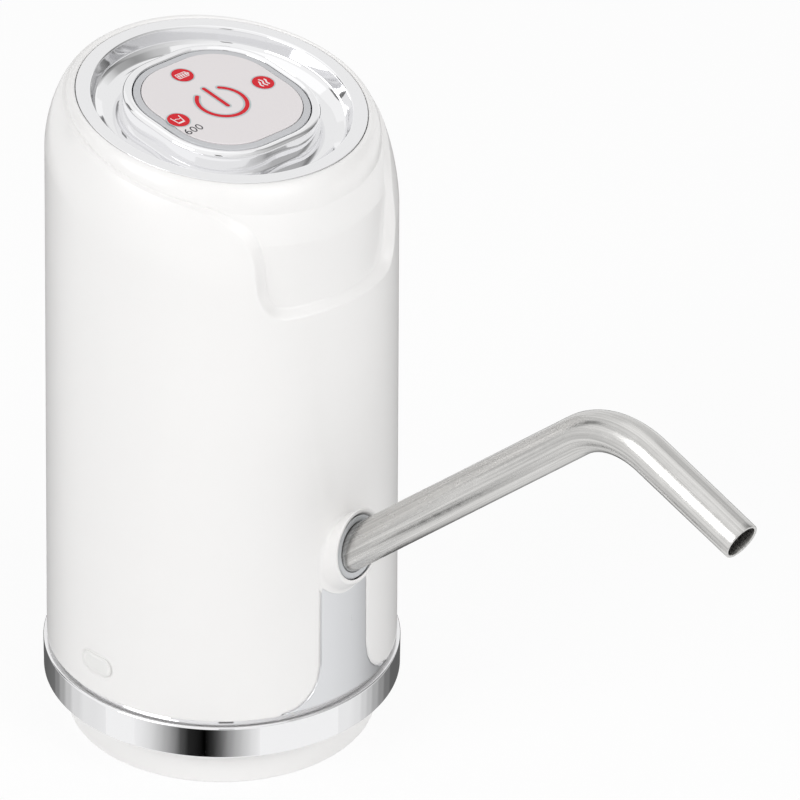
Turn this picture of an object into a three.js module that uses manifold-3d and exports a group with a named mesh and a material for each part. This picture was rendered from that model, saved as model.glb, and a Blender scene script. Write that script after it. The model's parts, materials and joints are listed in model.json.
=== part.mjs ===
// Electric pump that sits on the neck of a water jug: tapered white body, slanted top with one
// push button in a chrome dish, bent steel spout, charging port low on the side.
// Millimetres, +Z up, the spout towards -Y. The origin is the centre of the base plate's underside.
import * as THREE from "three";
import { mergeVertices } from "three/addons/utils/BufferGeometryUtils.js";
import Module from "manifold-3d";

const wasm = await Module();
wasm.setup();

// Clearances, and the number of steps round a circle
const GAP = 0.3; // between neighbouring pieces
const OVERRUN = 2; // how far a cutter runs past a face
const BODY_STEPS = 48;
const RING_STEPS = 32;
const ROUND_STEPS = 18;
const SMALL_STEPS = 10;
const SCREW_STEPS = 8;
const HOSE_SIDE_STEPS = 5; // round half of it
const HOSE_BEND_STEPS = 20; // along each length of its way
const FULL_TURN = 2 * Math.PI;
const DEGREE = Math.PI / 180;

// Outer casing and the shoulder that it shares with the top cap. The band round the foot has the
// widest radius, and the other radii are counted in from it
const BAND_R = 38;
const BAND_PROUD = 0.78; // outside the casing's foot
const CASING_TAPER = 0.0131; // radius lost per unit of height
const CASING_WALL = 1.9;
const CASING_EDGE = 0.5; // rounding of the lower edge
const STOP_RIB_DEPTH = 1.3; // rib over the base plate
const STOP_RIB_HEIGHT = 1.5;
const CAP_RIB_DEPTH = 1.6; // rib under the top cap's skirt
const CAP_RIB_HEIGHT = 2.2;
const SLOPE = 9.2 * DEGREE; // of the top, down towards the spout
const LIP_Z = 125.2; // the dish's lip, on the body's axis
const CREST_WIDTH = 0.5; // from the dish to the crest of the rim
const CREST_RISE = 0.2; // above the plane of the lip
const SHOULDER_DROP = 16.4; // from crest to wall, at the sides
const SHOULDER_LEAN = 3.9; // more at the front, less at the back
const SHOULDER_POWER = 1.54;
const WRAP_EDGE_DROP = 3.1; // casing's upper edge, below the plane of the lip, at the sides
const WRAP_EDGE_LEAN = 2.2; // more at the front, less at the back
const EDGE_STEP = 0.8; // from the casing's upper edge in to the cap
const EDGE_ROUND = 0.25;

// Cut-out of the casing over the spout, half of it, from its foot up: shares of the half angle
// and of the drop below the lip, then of the side slope and of the ledge that the edge moves in
// by through the wall
const CUTOUT_HALF_SHARES = [
  [0.436, 1, 0.3, 1],
  [0.52, 0.968, 0.6, 0.9],
  [0.578, 0.871, 1, 0.4],
  [0.6, 0.73, 1, 0],
  [0.602, 0.588, 1, 0],
  [0.644, 0.479, 0.8, 0],
  [0.727, 0.376, 0.5, 0],
  [0.862, 0.28, 0.2, 0],
  [1, 0.235, 0, 0],
];
const CUTOUT_HALF_ANGLE = 55;
const CUTOUT_DROP = 32.1; // of its foot, below the lip
const CUTOUT_TOP_ANGLE = 57;
const CUTOUT_TOP_RISE = 2.7; // of the cutter's top, above the lip
const CUTOUT_CENTRE_DROP = 8.3;
const CUTOUT_SIDE_SLOPE = 3.6; // degrees of arc
const CUTOUT_LEDGE = 0.9;
const CUTOUT_MID_DEPTH = 0.9;
const CUTOUT_REACH = 9; // of the cutter, outside the wall
const CUTOUT_FOOT_SHARES = [-0.5, 0, 0.5]; // across its foot and its top
const CUTOUT_TOP_SHARES = [1, 0.5, 0, -0.5, -1];

// Rows of points down the two shells, as shares of the way
const CASING_ROW_SHARES = [1, 0.6, 0.3]; // from the wall up to the casing's upper edge
const BORE_ROW_SHARES = [0, 0.3, 0.6, 1];
const RIM_ROW_SHARES = [0, 0.06, 0.2, 0.45, 0.75, 1]; // from the crest down to that edge
const SKIRT_ROW_SHARES = [0.3, 0.6, 1];

// Top cap
const CAP_INSET = 1.6; // of its skirt, from the wall's face at the height of the lip
const CAP_WALL = 1.9;
const CAP_HEIGHT = 40.3; // of its skirt, below the lip
const CAP_LEDGE_RIM = 2.1; // of the ledge, inside its screws
const CAP_LEDGE_THICKNESS = 3;

// Chrome dish, in the plane of the lip
const RIM_WIDTH = 6.12; // from the wall's face in to the dish
const DISH_LIP = 2.97;
const DISH_EDGE = 0.45;
const DISH_DEPTH = 4.5;
const DISH_WALL_RUN = 0.9; // how far the dish's wall leans in
const DISH_COVE = 1;
const DISH_FLOOR = 1.5;
const DISH_SKIRT_WALL = 1.5;
const DISH_FOOT_DROP = 9;

// Push button and its frame: rounded squares, each an even offset of a small square
const SQUARE_CORE = 3.4; // half-width of that small square
const LENS_BORDER = 1.6; // of the carrier, round the lens
const LENS_RISE = 0.15;
const LENS_THICKNESS = 0.85;
const CARRIER_HEIGHT = 4;
const CARRIER_FLANGE = 1.2;
const CARRIER_FLANGE_HEIGHT = 1.2;
const CARRIER_POST_R = 2.5;
const TROUGH_WIDTH = 7.5; // from the dish's lip to the side of the frame
const FRAME_WIDTH = 2.2;
const FRAME_RISE = 0.25;
const FRAME_EDGE = 0.5;
const FRAME_FLANGE = 1.5;
const FRAME_FLANGE_HEIGHT = 1.2;
const SQUARE_CORNER_STEPS = 4;

// Power switch and the control board
const PLUNGER_R = 1.6;
const PLUNGER_SHOW = 1.4; // above the switch
const BUTTON_TRAVEL = 0.6;
const SWITCH_SIZE = 7;
const SWITCH_HEIGHT = 4;
const SWITCH_WELL = 2.6;
const BOARD_MARGIN = 4.3; // from the cap's skirt to the board
const BOARD_THICKNESS = 1.6;
const BOARD_SCREW_INSET = 1.4; // from the board's edge
const BOARD_SCREW_COUNT = 3;
const LAMP_R = 1.5;
const LAMP_HEIGHT = 2.2;
const LAMP_CORNER_SHARE = 0.707; // of its radius, where its dome is cut into two slopes
const LAMP_PLACE_SHARES = { battery: [0, 0.763], flow: [0.811, 0.034], cup: [-0.814, -0.02] };

// Spout: its axis leaves the wall, rises to a corner, and goes down from there to the mouth
const SPOUT_ROOT_Z = 34.84;
const SPOUT_REACH = 70.86;
const SPOUT_RISE = 61.94;
const MOUTH_REACH = 33.68; // from the corner
const MOUTH_DROP = 12.57;
const SPOUT_BEND_R = 18.7;
const SPOUT_BEND_STEPS = 7;
const SPOUT_START_R = 4.4;
const SPOUT_MOUTH_R = 3.96;
const SPOUT_WALL = 0.6;
const SPOUT_INSIDE = 8; // length of tube inside the wall
const SEAL_WALL = 0.85;
const SEAL_INSIDE = 9;
const SEAL_OUTSIDE = 2.6;
const COLLAR_WALL = 0.8;
const COLLAR_PROUD = 3.76; // of its face, before the wall
const SOCKET_SHELL = 1.5;
const SOCKET_LENGTH = 13;
const SOCKET_TAIL = 11;
const HOSE_BORE_R = 3;
const HOSE_WALL = 1.2;
const BARB_WALL = 1.1;
const HOSE_CLEAR_END = 0.6; // from a hose's end to the shoulder it is pushed towards

// Trim strip under the spout, down its edge from the corner under the collar: shares of that
// corner's height and of the half angle at its foot
const TRIM_EDGE_SHARES = [
  [1, 0.425],
  [0.336, 0.433],
  [0.22, 0.479],
  [0.136, 0.558],
  [0.084, 0.654],
  [0.038, 0.792],
  [0.0105, 1],
];
const TRIM_FOOT_ANGLE = 24;
const TRIM_CORNER_RISE = 3.2; // above the middle of its top, which lies under the collar
const TRIM_TOP_STEPS = 6;
const TRIM_RECESS = 1;
const TRIM_PROUD = 0.2;

// Base band, jug collar, seal and base plate
const BAND_TOP_Z = -0.88;
const BAND_FOOT_Z = -8.37;
const BAND_LIP = 1.8; // round the neck that goes up into the casing
const BAND_EDGE = 0.5;
const BAND_WALL = 4.8;
const BAND_FLANGE = 1.6;
const NECK_WALL = 4.3;
const NECK_FOOT_Z = -18;
const NECK_EDGE = 0.7;
const SEAL_RING_WIDTH = 5.8;
const SEAL_RING_HEIGHT = 2.9;
const SEAL_RING_GROOVE = 0.8;
const SEAL_RING_LIP = 1.2;
const PLATE_THICKNESS = 3;
const DRIP_GROOVE_WIDTH = 1; // in the plate's underside, inside the seal
const DRIP_GROOVE_DEPTH = 0.8;
const BASE_SCREW_ANGLES = [60, 180, 300];
const BOARD_RIB_WIDTH = 2;
const SADDLE_WIDTH = 6; // under the inner end of the spout's socket
const SADDLE_DEPTH = 3;

// Screws: head radius, head height, shank radius, shank length
const BASE_SCREW = [2.5, 1.9, 1.3, 9];
const BOARD_SCREW = [1.9, 1.3, 0.9, 3.6];
const PUMP_SCREW = [1.8, 1.6, 0.9, 15];
const CHASSIS_SCREW = [2.2, 1.2, 1.1, 7.4];

// Inlet fitting for the jug's suction hose
const INLET_R = 3.6;
const INLET_BORE_R = 2;
const INLET_FOOT_Z = -14;
const INLET_RIDGE = 0.4;
const INLET_RIDGE_LENGTH = 2.5;
const INLET_RIDGE_COUNT = 3;
const INLET_FLANGE_R = 5.5;
const INLET_FLANGE = 1.5;
const INLET_TOP_Z = 10.5;

// Pump, battery and the chassis between them stand in the casing: their places, and how far the
// chassis reaches to the front and the back, are shares of the casing's inner radius
const PUMP_PLACE_SHARES = [-0.3216, 0.2339];
const BATTERY_PLACE_SHARES = [0.5204, 0.2339];
const CHASSIS_REACH_SHARES = [-0.263, 0.79];

// Diaphragm pump and motor, on one upright axis
const PUMP_R = 13.4;
const PUMP_FOOT_Z = 24;
const PUMP_BARB_OFFSET = 5;
const PUMP_BARB_LENGTH = 7;
const HEAD_HEIGHT = 8;
const VALVE_PLATE_HEIGHT = 2;
const VALVE_HOLE_R = 1.4;
const DIAPHRAGM_HEIGHT = 2;
const DIAPHRAGM_CUP_OFFSET = 5;
const DIAPHRAGM_CUP_R = 3.2;
const DIAPHRAGM_CUP_RISE = 1.4;
const PUMP_CASE_HEIGHT = 12;
const PUMP_CASE_ROOF = 2;
const PUMP_CASE_WALL = 4;
const PUMP_CASE_HOLE_R = 4;
const PUMP_SCREW_INSET = 1.9; // from the pump's side
const PUMP_SCREW_ANGLES = [0, 120, 240];
const DIAPHRAGM_CUP_ANGLES = [60, 180, 300];
const WOBBLE_CLEARANCE = 0.8; // to the case all round
const WOBBLE_HEIGHT = 2;
const WOBBLE_LIFT = 1.9;
const WOBBLE_PIN_R = 1;
const WOBBLE_PIN_OFFSET = 1.5;
const WOBBLE_PIN_LENGTH = 3;
const HUB_R = 5;
const HUB_HEIGHT = 4.4;
const HUB_WELL_R = 3;
const HUB_WELL = 2.6;
const HUB_LIFT = 0.6;
const SHAFT_R = 1;
const MOTOR_STEP = 1.2; // pump's radius outside the motor's
const MOTOR_WALL = 0.7;
const MOTOR_HEIGHT = 25;
const MOTOR_FLOOR = 1;
const MAGNET_GAP = 0.4; // to the can
const MAGNET_THICKNESS = 2;
const MAGNET_HALF_ANGLE = 55;
const AIR_GAP = 1.1; // from the magnets to the armature
const ARMATURE_HEIGHT = 15;
const ARMATURE_LIFT = 4;
const ARMATURE_SLOT = 2.4;
const ARMATURE_SLOT_DEPTH = 4.4;
const ARMATURE_POLES = 3;
const COMMUTATOR_R = 2.6;
const COMMUTATOR_HEIGHT = 3;
const END_CAP_FLANGE = 2.7;
const END_CAP_PLUG = 2.2;
const END_CAP_WELL = 2;
const TERMINAL_OFFSET = 7;
const TERMINAL_SIZE = [2.4, 0.7, 3.2];

// Battery, its contacts, and the chassis that holds battery and motor
const BATTERY_R = 9.2;
const BATTERY_LENGTH = 65;
const BATTERY_NUB_R = 2.8;
const BATTERY_NUB = 1;
const BATTERY_EDGE = 0.6;
const CONTACT_INSET = 2.7; // from the battery's side
const CONTACT_THICKNESS = 1;
const CHASSIS_CLEARANCE = 1.8; // from the pump to the plate
const CHASSIS_THICKNESS = 2.4;
const CHASSIS_ROOF = 2;
const MOTOR_RING_WALL = 2.9;
const MOTOR_RING_LIFT = 3.8; // above the foot of the motor
const MOTOR_RING_HEIGHT = 9;
const BATTERY_RING_WALL = 1.6;
const BATTERY_RING_WEB = 8; // from the plate to the ring
const BATTERY_RING_HEIGHT = 6;
const BATTERY_RING_LEVEL_SHARES = [0.206, 0.76];
const FOOT_REACH = 7.8; // of the front foot, along X from the plate's face
const FOOT_BACK_REACH = 5.8;
const FOOT_BACK_OVERHANG = 5.2; // to the plate's other side
const FOOT_DEPTH = 6.6;
const FOOT_BACK_DEPTH = 8.4;
const FOOT_HEIGHT = 7;

// Charging board, socket and port cover
const PORT_ANGLE = -88.3;
const PORT_Z = 7.4;
const PORT_WIDTH = 8.3;
const PORT_HEIGHT = 4.4;
const PORT_COVER = 1.3;
const SOCKET_SETBACK = 0.97; // from the casing's inner face
const SOCKET_DEPTH = 7.2;
const SOCKET_WIDTH = 9;
const SOCKET_HEIGHT = 3.2;
const SOCKET_WALL = 0.35;
const SOCKET_TONGUE = 0.7;
const SOCKET_TONGUE_WIDTH = 6.6;
const SOCKET_TONGUE_SETBACK = 0.8;
const SOCKET_FLOOR = 1.2;
const CHARGE_BOARD_SETBACK = 3.2; // behind the socket's mouth
const CHARGE_BOARD_OVERHANG = 3.5; // behind its back
const CHARGE_BOARD_HALF = 9;
const CHARGE_BOARD_THICKNESS = 1.2;

// Looks: colour, roughness, metalness
const LOOKS = {
  white: [0xf1f0ee, 0.35, 0],
  chrome: [0xd8dadc, 0.08, 1],
  satin: [0xb9bbbd, 0.35, 1],
  steel: [0xc4c4c2, 0.25, 1],
  panel: [0xd9d2d2, 0.3, 0],
  border: [0xb4b7bb, 0.4, 0],
  seal: [0x9c9ea1, 0.7, 0],
  port: [0xdcdcda, 0.6, 0],
  board: [0x1f6b3f, 0.5, 0],
  black: [0x26272a, 0.5, 0],
  grey: [0x85888c, 0.6, 0],
  hose: [0xd5dadc, 0.45, 0],
  cell: [0x2f6fae, 0.4, 0],
  nickel: [0xbfc0b8, 0.3, 1],
  copper: [0xb06a3b, 0.35, 1],
  magnet: [0x3b3c3f, 0.6, 0.2],
  lamp: [0xe0353f, 0.3, 0],
};

// A solid from any three.js geometry
function solid(geometry) {
  const plain = new THREE.BufferGeometry();
  plain.setAttribute("position", geometry.getAttribute("position"));
  plain.setIndex(geometry.getIndex());
  const merged = mergeVertices(plain);
  const corners = merged.getAttribute("position").array;
  const faces = new Uint32Array(merged.getIndex().array);
  const make = (order) =>
    new wasm.Manifold(
      new wasm.Mesh({ numProp: 3, vertProperties: corners, triVerts: order }),
    );
  const made = make(faces);
  return made.volume() < 0 ? make(faces.slice().reverse()) : made;
}

function geometryOf(made) {
  const mesh = made.getMesh();
  const geometry = new THREE.BufferGeometry();
  const corners = new THREE.BufferAttribute(mesh.vertProperties, mesh.numProp);
  geometry.setAttribute("position", corners);
  geometry.setIndex(new THREE.BufferAttribute(mesh.triVerts, 1));
  const flat = geometry.toNonIndexed();
  flat.computeVertexNormals();
  return flat;
}

const join = (first, ...others) =>
  geometryOf(others.reduce((made, next) => made.add(solid(next)), solid(first)));

const cut = (first, ...tools) =>
  geometryOf(tools.reduce((made, tool) => made.subtract(solid(tool)), solid(first)));

const common = (first, second) => geometryOf(solid(first).intersect(solid(second)));

// A point by radius, angle from the spout towards +X, and height
const polar = (radius, angle, z) =>
  new THREE.Vector3(radius * Math.sin(angle), -radius * Math.cos(angle), z);

// Turned about the upright axis; the profile is a list of [radius, height]
function turned(profile, steps) {
  const points = profile.map(([radius, z]) => new THREE.Vector2(radius, z));
  return new THREE.LatheGeometry(points, steps).rotateX(Math.PI / 2);
}

const loop = (profile) => [...profile, profile[0]];

const ring = (outer, inner, low, high, steps) =>
  turned(
    loop([
      [inner, low],
      [outer, low],
      [outer, high],
      [inner, high],
    ]),
    steps,
  );

const post = (radius, low, high, steps) =>
  new THREE.CylinderGeometry(radius, radius, high - low, steps)
    .rotateX(Math.PI / 2)
    .translate(0, 0, (low + high) / 2);

const block = (x, y, z) =>
  new THREE.BoxGeometry(x[1] - x[0], y[1] - y[0], z[1] - z[0]).translate(
    (x[0] + x[1]) / 2,
    (y[0] + y[1]) / 2,
    (z[0] + z[1]) / 2,
  );

// A flat outline pulled up from one height to another
const pulled = (shape, low, high, bevel = 0) =>
  new THREE.ExtrudeGeometry(shape, {
    depth: high - low - 2 * bevel,
    bevelEnabled: bevel > 0,
    bevelSize: bevel,
    bevelOffset: -bevel,
    bevelThickness: bevel,
    bevelSegments: 1,
    curveSegments: SQUARE_CORNER_STEPS,
  }).translate(0, 0, low + bevel);

// A closed skin through rings of points; a ring of one point is an end on the axis
function skin(rings) {
  const starts = [];
  let count = 0;
  for (const points of rings) {
    starts.push(count);
    count += points.length;
  }
  const pick = (row, step) => starts[row] + (step % rings[row].length);
  const faces = [];
  rings.forEach((points, row) => {
    const next = (row + 1) % rings.length;
    const steps = Math.max(points.length, rings[next].length);
    for (let step = 0; step < steps && steps > 1; step += 1) {
      if (points.length > 1)
        faces.push(pick(row, step), pick(row, step + 1), pick(next, step));
      if (rings[next].length > 1)
        faces.push(pick(row, step + 1), pick(next, step + 1), pick(next, step));
    }
  });
  const geometry = new THREE.BufferGeometry().setFromPoints(rings.flat());
  geometry.setIndex(faces);
  return geometry;
}

// A ring about the body's axis from a rule that gives [radius, height] for each angle
const ringBy = (rule) =>
  Array.from({ length: BODY_STEPS }, (_, step) => {
    const angle = (FULL_TURN * step) / BODY_STEPS;
    const [radius, z] = rule(angle);
    return polar(radius, angle, z);
  });

const axisPoint = (z) => [new THREE.Vector3(0, 0, z)];

// Heights in the slanted top: how far a point at a radius and angle lies below the plane of the
// lip is counted straight down
const slantZ = (radius, angle, drop) =>
  LIP_Z - radius * Math.cos(angle) * Math.tan(SLOPE) - drop;

const upright = (normalDrop) => normalDrop / Math.cos(SLOPE);

const footR = BAND_R - BAND_PROUD;
const wallR = (z) => footR - CASING_TAPER * z;
const innerR = (z) => wallR(z) - CASING_WALL;
const capSkirtR = wallR(LIP_Z) - CAP_INSET;
const capFootZ = LIP_Z - CAP_HEIGHT;
const dishR = wallR(LIP_Z) - RIM_WIDTH;
const crestR = dishR + CREST_WIDTH;
const insideR = innerR(capFootZ);
const byInside = (shares) => shares.map((share) => share * insideR);

const wholeDrop = (angle) => SHOULDER_DROP + SHOULDER_LEAN * Math.cos(angle);

// The shoulder: radius and height for a drop below the crest
function shoulder(angle, drop) {
  const whole = wholeDrop(angle);
  const share = Math.min(drop / whole, 1);
  const wall = wallR(slantZ(wallR(LIP_Z), angle, whole - CREST_RISE));
  const swell = Math.pow(
    1 - Math.pow(1 - share, SHOULDER_POWER),
    1 / SHOULDER_POWER,
  );
  const radius = crestR + (wall - crestR) * swell;
  return [radius, slantZ(radius, angle, drop - CREST_RISE)];
}

// The casing's upper edge, as a drop below the crest
const edgeDrop = (angle) => WRAP_EDGE_DROP + WRAP_EDGE_LEAN * Math.cos(angle) + CREST_RISE;

// A drop between the casing's upper edge and the wall, by share
const lowerDrop = (angle, share) => edgeDrop(angle) * (1 - share) + wholeDrop(angle) * share;

// The cap's face under the casing's edge and below
function capFace(angle, drop) {
  const [radius, z] = shoulder(angle, drop);
  return [Math.min(radius - EDGE_STEP, capSkirtR), z];
}

// Moved sideways to a place
const placed = (geometry, [x, y]) => geometry.translate(x, y, 0);

const screwBody = ([headR, headHeight, shankR, length]) =>
  turned(
    [
      [0, -length],
      [shankR, -length],
      [shankR, 0],
      [headR, 0],
      [headR, headHeight],
      [0, headHeight],
    ],
    SCREW_STEPS,
  );

const screwHole = ([, , shankR], low, high) =>
  post(shankR + GAP, low, high, SCREW_STEPS);

// The same screw upside down
const fromBelow = (geometry) => geometry.rotateX(Math.PI);

const casingGroup = new THREE.Group();
const topGroup = new THREE.Group();
const spoutGroup = new THREE.Group();
const baseGroup = new THREE.Group();
const pumpGroup = new THREE.Group();
const powerGroup = new THREE.Group();

function add(group, name, geometry, look) {
  const [color, roughness, metalness] = LOOKS[look];
  const material = new THREE.MeshStandardMaterial({ color, roughness, metalness });
  const mesh = new THREE.Mesh(geometry, material);
  mesh.name = name;
  group.add(mesh);
  return mesh;
}

// Spout: its root on the wall, its corner and mouth, and the point at a length along its axis
const spoutRoot = new THREE.Vector3(0, -wallR(SPOUT_ROOT_Z), SPOUT_ROOT_Z);
const spoutCorner = new THREE.Vector3(0, -SPOUT_REACH, SPOUT_RISE).add(spoutRoot);
const spoutMouth = new THREE.Vector3(0, -MOUTH_REACH, -MOUTH_DROP).add(spoutCorner);
const spoutAxis = spoutCorner.clone().sub(spoutRoot).normalize();
const spoutUnder = new THREE.Vector3(0, -spoutAxis.z, spoutAxis.y); // square to it, downwards
const alongSpout = (length) => spoutRoot.clone().addScaledVector(spoutAxis, length);
const sealR = SPOUT_START_R + GAP + SEAL_WALL;
const collarBoreR = sealR + GAP;
const collarR = collarBoreR + COLLAR_WALL;
const socketR = collarBoreR + SOCKET_SHELL;
const barbR = HOSE_BORE_R - GAP;
const barbBoreR = barbR - BARB_WALL;

// Geometry made round the upright axis, laid on the spout's axis with its zero at the root
const onSpout = (geometry) =>
  geometry
    .applyQuaternion(
      new THREE.Quaternion().setFromUnitVectors(new THREE.Vector3(0, 0, 1), spoutAxis),
    )
    .translate(...spoutRoot.toArray());

// Outline of the trim strip, grown all round by a margin, pulled through the wall
const trimTopZ = SPOUT_ROOT_Z + collarR / spoutUnder.z;
const trimCornerZ = trimTopZ + TRIM_CORNER_RISE;
function trimPrism(margin) {
  const side = TRIM_EDGE_SHARES.map(([height, width]) => {
    const z = trimCornerZ * height;
    const x = wallR(z) * Math.sin(TRIM_FOOT_ANGLE * width * DEGREE) + margin;
    return new THREE.Vector2(x, z);
  });
  const corner = side[0];
  const top = Array.from({ length: TRIM_TOP_STEPS + 1 }, (_, step) => {
    const share = 1 - (2 * step) / TRIM_TOP_STEPS;
    const dip = TRIM_CORNER_RISE * (1 - share * share);
    return new THREE.Vector2(-corner.x * share, corner.y - dip + margin);
  });
  const foot = side[side.length - 1];
  const ends = [
    new THREE.Vector2(foot.x, foot.y - margin),
    new THREE.Vector2(-foot.x, foot.y - margin),
  ];
  const left = side.map(({ x, y }) => new THREE.Vector2(-x, y)).reverse();
  const shape = new THREE.Shape([...top, ...side, ...ends, ...left]);
  return pulled(shape, 0, footR + OVERRUN).rotateX(Math.PI / 2);
}

// A band of the wall's own taper between two depths, counted outwards from its face
const wallBand = (inner, outer, low, high) =>
  turned(
    loop([
      [wallR(low) + inner, low],
      [wallR(low) + outer, low],
      [wallR(high) + outer, high],
      [wallR(high) + inner, high],
    ]),
    BODY_STEPS,
  );

const socketFrontX = SOCKET_SETBACK - innerR(PORT_Z);

// The port's oblong, grown by a margin, pulled along X through the wall on the -X side
function portPrism(margin) {
  const half = PORT_HEIGHT / 2 + margin;
  const reach = PORT_WIDTH / 2 - PORT_HEIGHT / 2;
  const shape = new THREE.Shape();
  shape.absarc(reach, 0, half, -Math.PI / 2, Math.PI / 2);
  shape.absarc(-reach, 0, half, Math.PI / 2, (3 * Math.PI) / 2);
  return pulled(shape, GAP - socketFrontX, footR + OVERRUN)
    .rotateX(Math.PI / 2)
    .rotateZ(PORT_ANGLE * DEGREE)
    .translate(0, 0, PORT_Z);
}

// The cut-out over the spout: rings that follow the wall, smaller towards the inside
function cutoutTool() {
  const outline = (inset) => {
    const right = CUTOUT_HALF_SHARES.map(([angle, drop, side, ledge]) => [
      CUTOUT_HALF_ANGLE * angle - CUTOUT_SIDE_SLOPE * side * inset,
      LIP_Z - CUTOUT_DROP * drop + CUTOUT_LEDGE * ledge * inset,
    ]);
    const [footAngle, footZ] = right[0];
    const foot = CUTOUT_FOOT_SHARES.map((share) => [footAngle * share, footZ]);
    const top = CUTOUT_TOP_SHARES.map((share) => [
      CUTOUT_TOP_ANGLE * share,
      LIP_Z + CUTOUT_TOP_RISE,
    ]);
    const left = right.map(([angle, z]) => [-angle, z]).reverse();
    return [...foot, ...right, ...top, ...left];
  };
  const ringAt = (radius, inset) =>
    outline(inset).map(([angle, z]) => polar(radius, angle * DEGREE, z));
  const wall = wallR(LIP_Z - CUTOUT_DROP);
  const inside = capSkirtR - OVERRUN;
  const centreZ = LIP_Z - CUTOUT_CENTRE_DROP;
  return skin([
    [polar(inside, 0, centreZ)],
    ringAt(inside, 1),
    ringAt(capSkirtR, 1),
    ringAt(wall - CUTOUT_MID_DEPTH, 1 - CUTOUT_MID_DEPTH / CASING_WALL),
    ringAt(wall, 0),
    ringAt(wall + CUTOUT_REACH, 0),
    [polar(wall + CUTOUT_REACH, 0, centreZ)],
  ]);
}

// Outer casing
const capBoreR = capSkirtR + GAP;
const ribTopZ = capFootZ - GAP;
const ribFootZ = ribTopZ - CAP_RIB_HEIGHT;
const stopFootZ = PLATE_THICKNESS + GAP;
const casingShell = skin([
  ringBy(() => [innerR(0), 0]),
  ringBy(() => [wallR(0) - CASING_EDGE, 0]),
  ringBy(() => [wallR(CASING_EDGE), CASING_EDGE]),
  ...CASING_ROW_SHARES.map((share) =>
    ringBy((angle) => shoulder(angle, lowerDrop(angle, share))),
  ),
  ringBy((angle) => shoulder(angle, edgeDrop(angle) + EDGE_ROUND)),
  ringBy((angle) => {
    const [radius, z] = shoulder(angle, edgeDrop(angle));
    return [radius - EDGE_ROUND, z];
  }),
  ...BORE_ROW_SHARES.map((share) =>
    ringBy((angle) => {
      const [radius, z] = capFace(angle, lowerDrop(angle, share));
      return [radius + GAP, z];
    }),
  ),
  ringBy(() => [capBoreR, ribTopZ]),
  ringBy(() => [capBoreR - CAP_RIB_DEPTH, ribTopZ]),
  ringBy(() => [capBoreR - CAP_RIB_DEPTH, ribFootZ]),
  ringBy(() => [innerR(ribFootZ), ribFootZ - CAP_RIB_DEPTH]),
  ringBy(() => [innerR(stopFootZ), stopFootZ + STOP_RIB_HEIGHT + STOP_RIB_DEPTH]),
  ringBy(() => [innerR(stopFootZ) - STOP_RIB_DEPTH, stopFootZ + STOP_RIB_HEIGHT]),
  ringBy(() => [innerR(stopFootZ) - STOP_RIB_DEPTH, stopFootZ]),
  ringBy(() => [innerR(stopFootZ), stopFootZ]),
]);
const collarReach = socketR + SOCKET_LENGTH;
const collar = common(
  onSpout(post(collarR, -collarReach, collarReach, ROUND_STEPS)),
  block(
    [-collarReach, collarReach],
    [spoutRoot.y - COLLAR_PROUD, spoutRoot.y + CASING_WALL / 2],
    [SPOUT_ROOT_Z - collarReach, SPOUT_ROOT_Z + collarReach],
  ),
);
const trimTop = trimCornerZ + OVERRUN;
const trimRecess = common(
  trimPrism(GAP),
  wallBand(-TRIM_RECESS, OVERRUN, -OVERRUN, trimTop),
);
add(
  casingGroup,
  "outer_casing",
  cut(
    join(casingShell, collar),
    onSpout(post(collarBoreR, -collarReach, collarReach, ROUND_STEPS)),
    cutoutTool(),
    trimRecess,
    portPrism(GAP),
  ),
  "white",
);
add(
  casingGroup,
  "trim_strip",
  common(
    trimPrism(0),
    wallBand(GAP - TRIM_RECESS, TRIM_PROUD, -OVERRUN, trimTop),
  ),
  "satin",
);
add(
  powerGroup,
  "usb_cover",
  common(
    portPrism(0),
    wallBand(-PORT_COVER, 0, PORT_Z - PORT_HEIGHT, PORT_Z + PORT_HEIGHT),
  ),
  "port",
);

// Slanted top: everything here is made with the plane of the lip as zero
topGroup.position.z = LIP_Z;
topGroup.rotation.x = SLOPE;
topGroup.updateMatrixWorld(true);
const inTop = (geometry) => geometry.clone().applyMatrix4(topGroup.matrixWorld);

const ledgeTop = -DISH_FOOT_DROP - GAP;
const ledgeFoot = ledgeTop - CAP_LEDGE_THICKNESS;
const boardTop = ledgeFoot - GAP;
const boardFoot = boardTop - BOARD_THICKNESS;
const capInnerR = capSkirtR - CAP_WALL;
const boardR = capInnerR - BOARD_MARGIN;
const boardScrewR = boardR - BOARD_SCREW_INSET;
const capLedgeR = boardScrewR - CAP_LEDGE_RIM;
const boardScrewPlaces = Array.from({ length: BOARD_SCREW_COUNT }, (_, step) => {
  const angle = (FULL_TURN * (2 * step + 1)) / (2 * BOARD_SCREW_COUNT);
  return [boardScrewR * Math.sin(angle), -boardScrewR * Math.cos(angle)];
});

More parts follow.
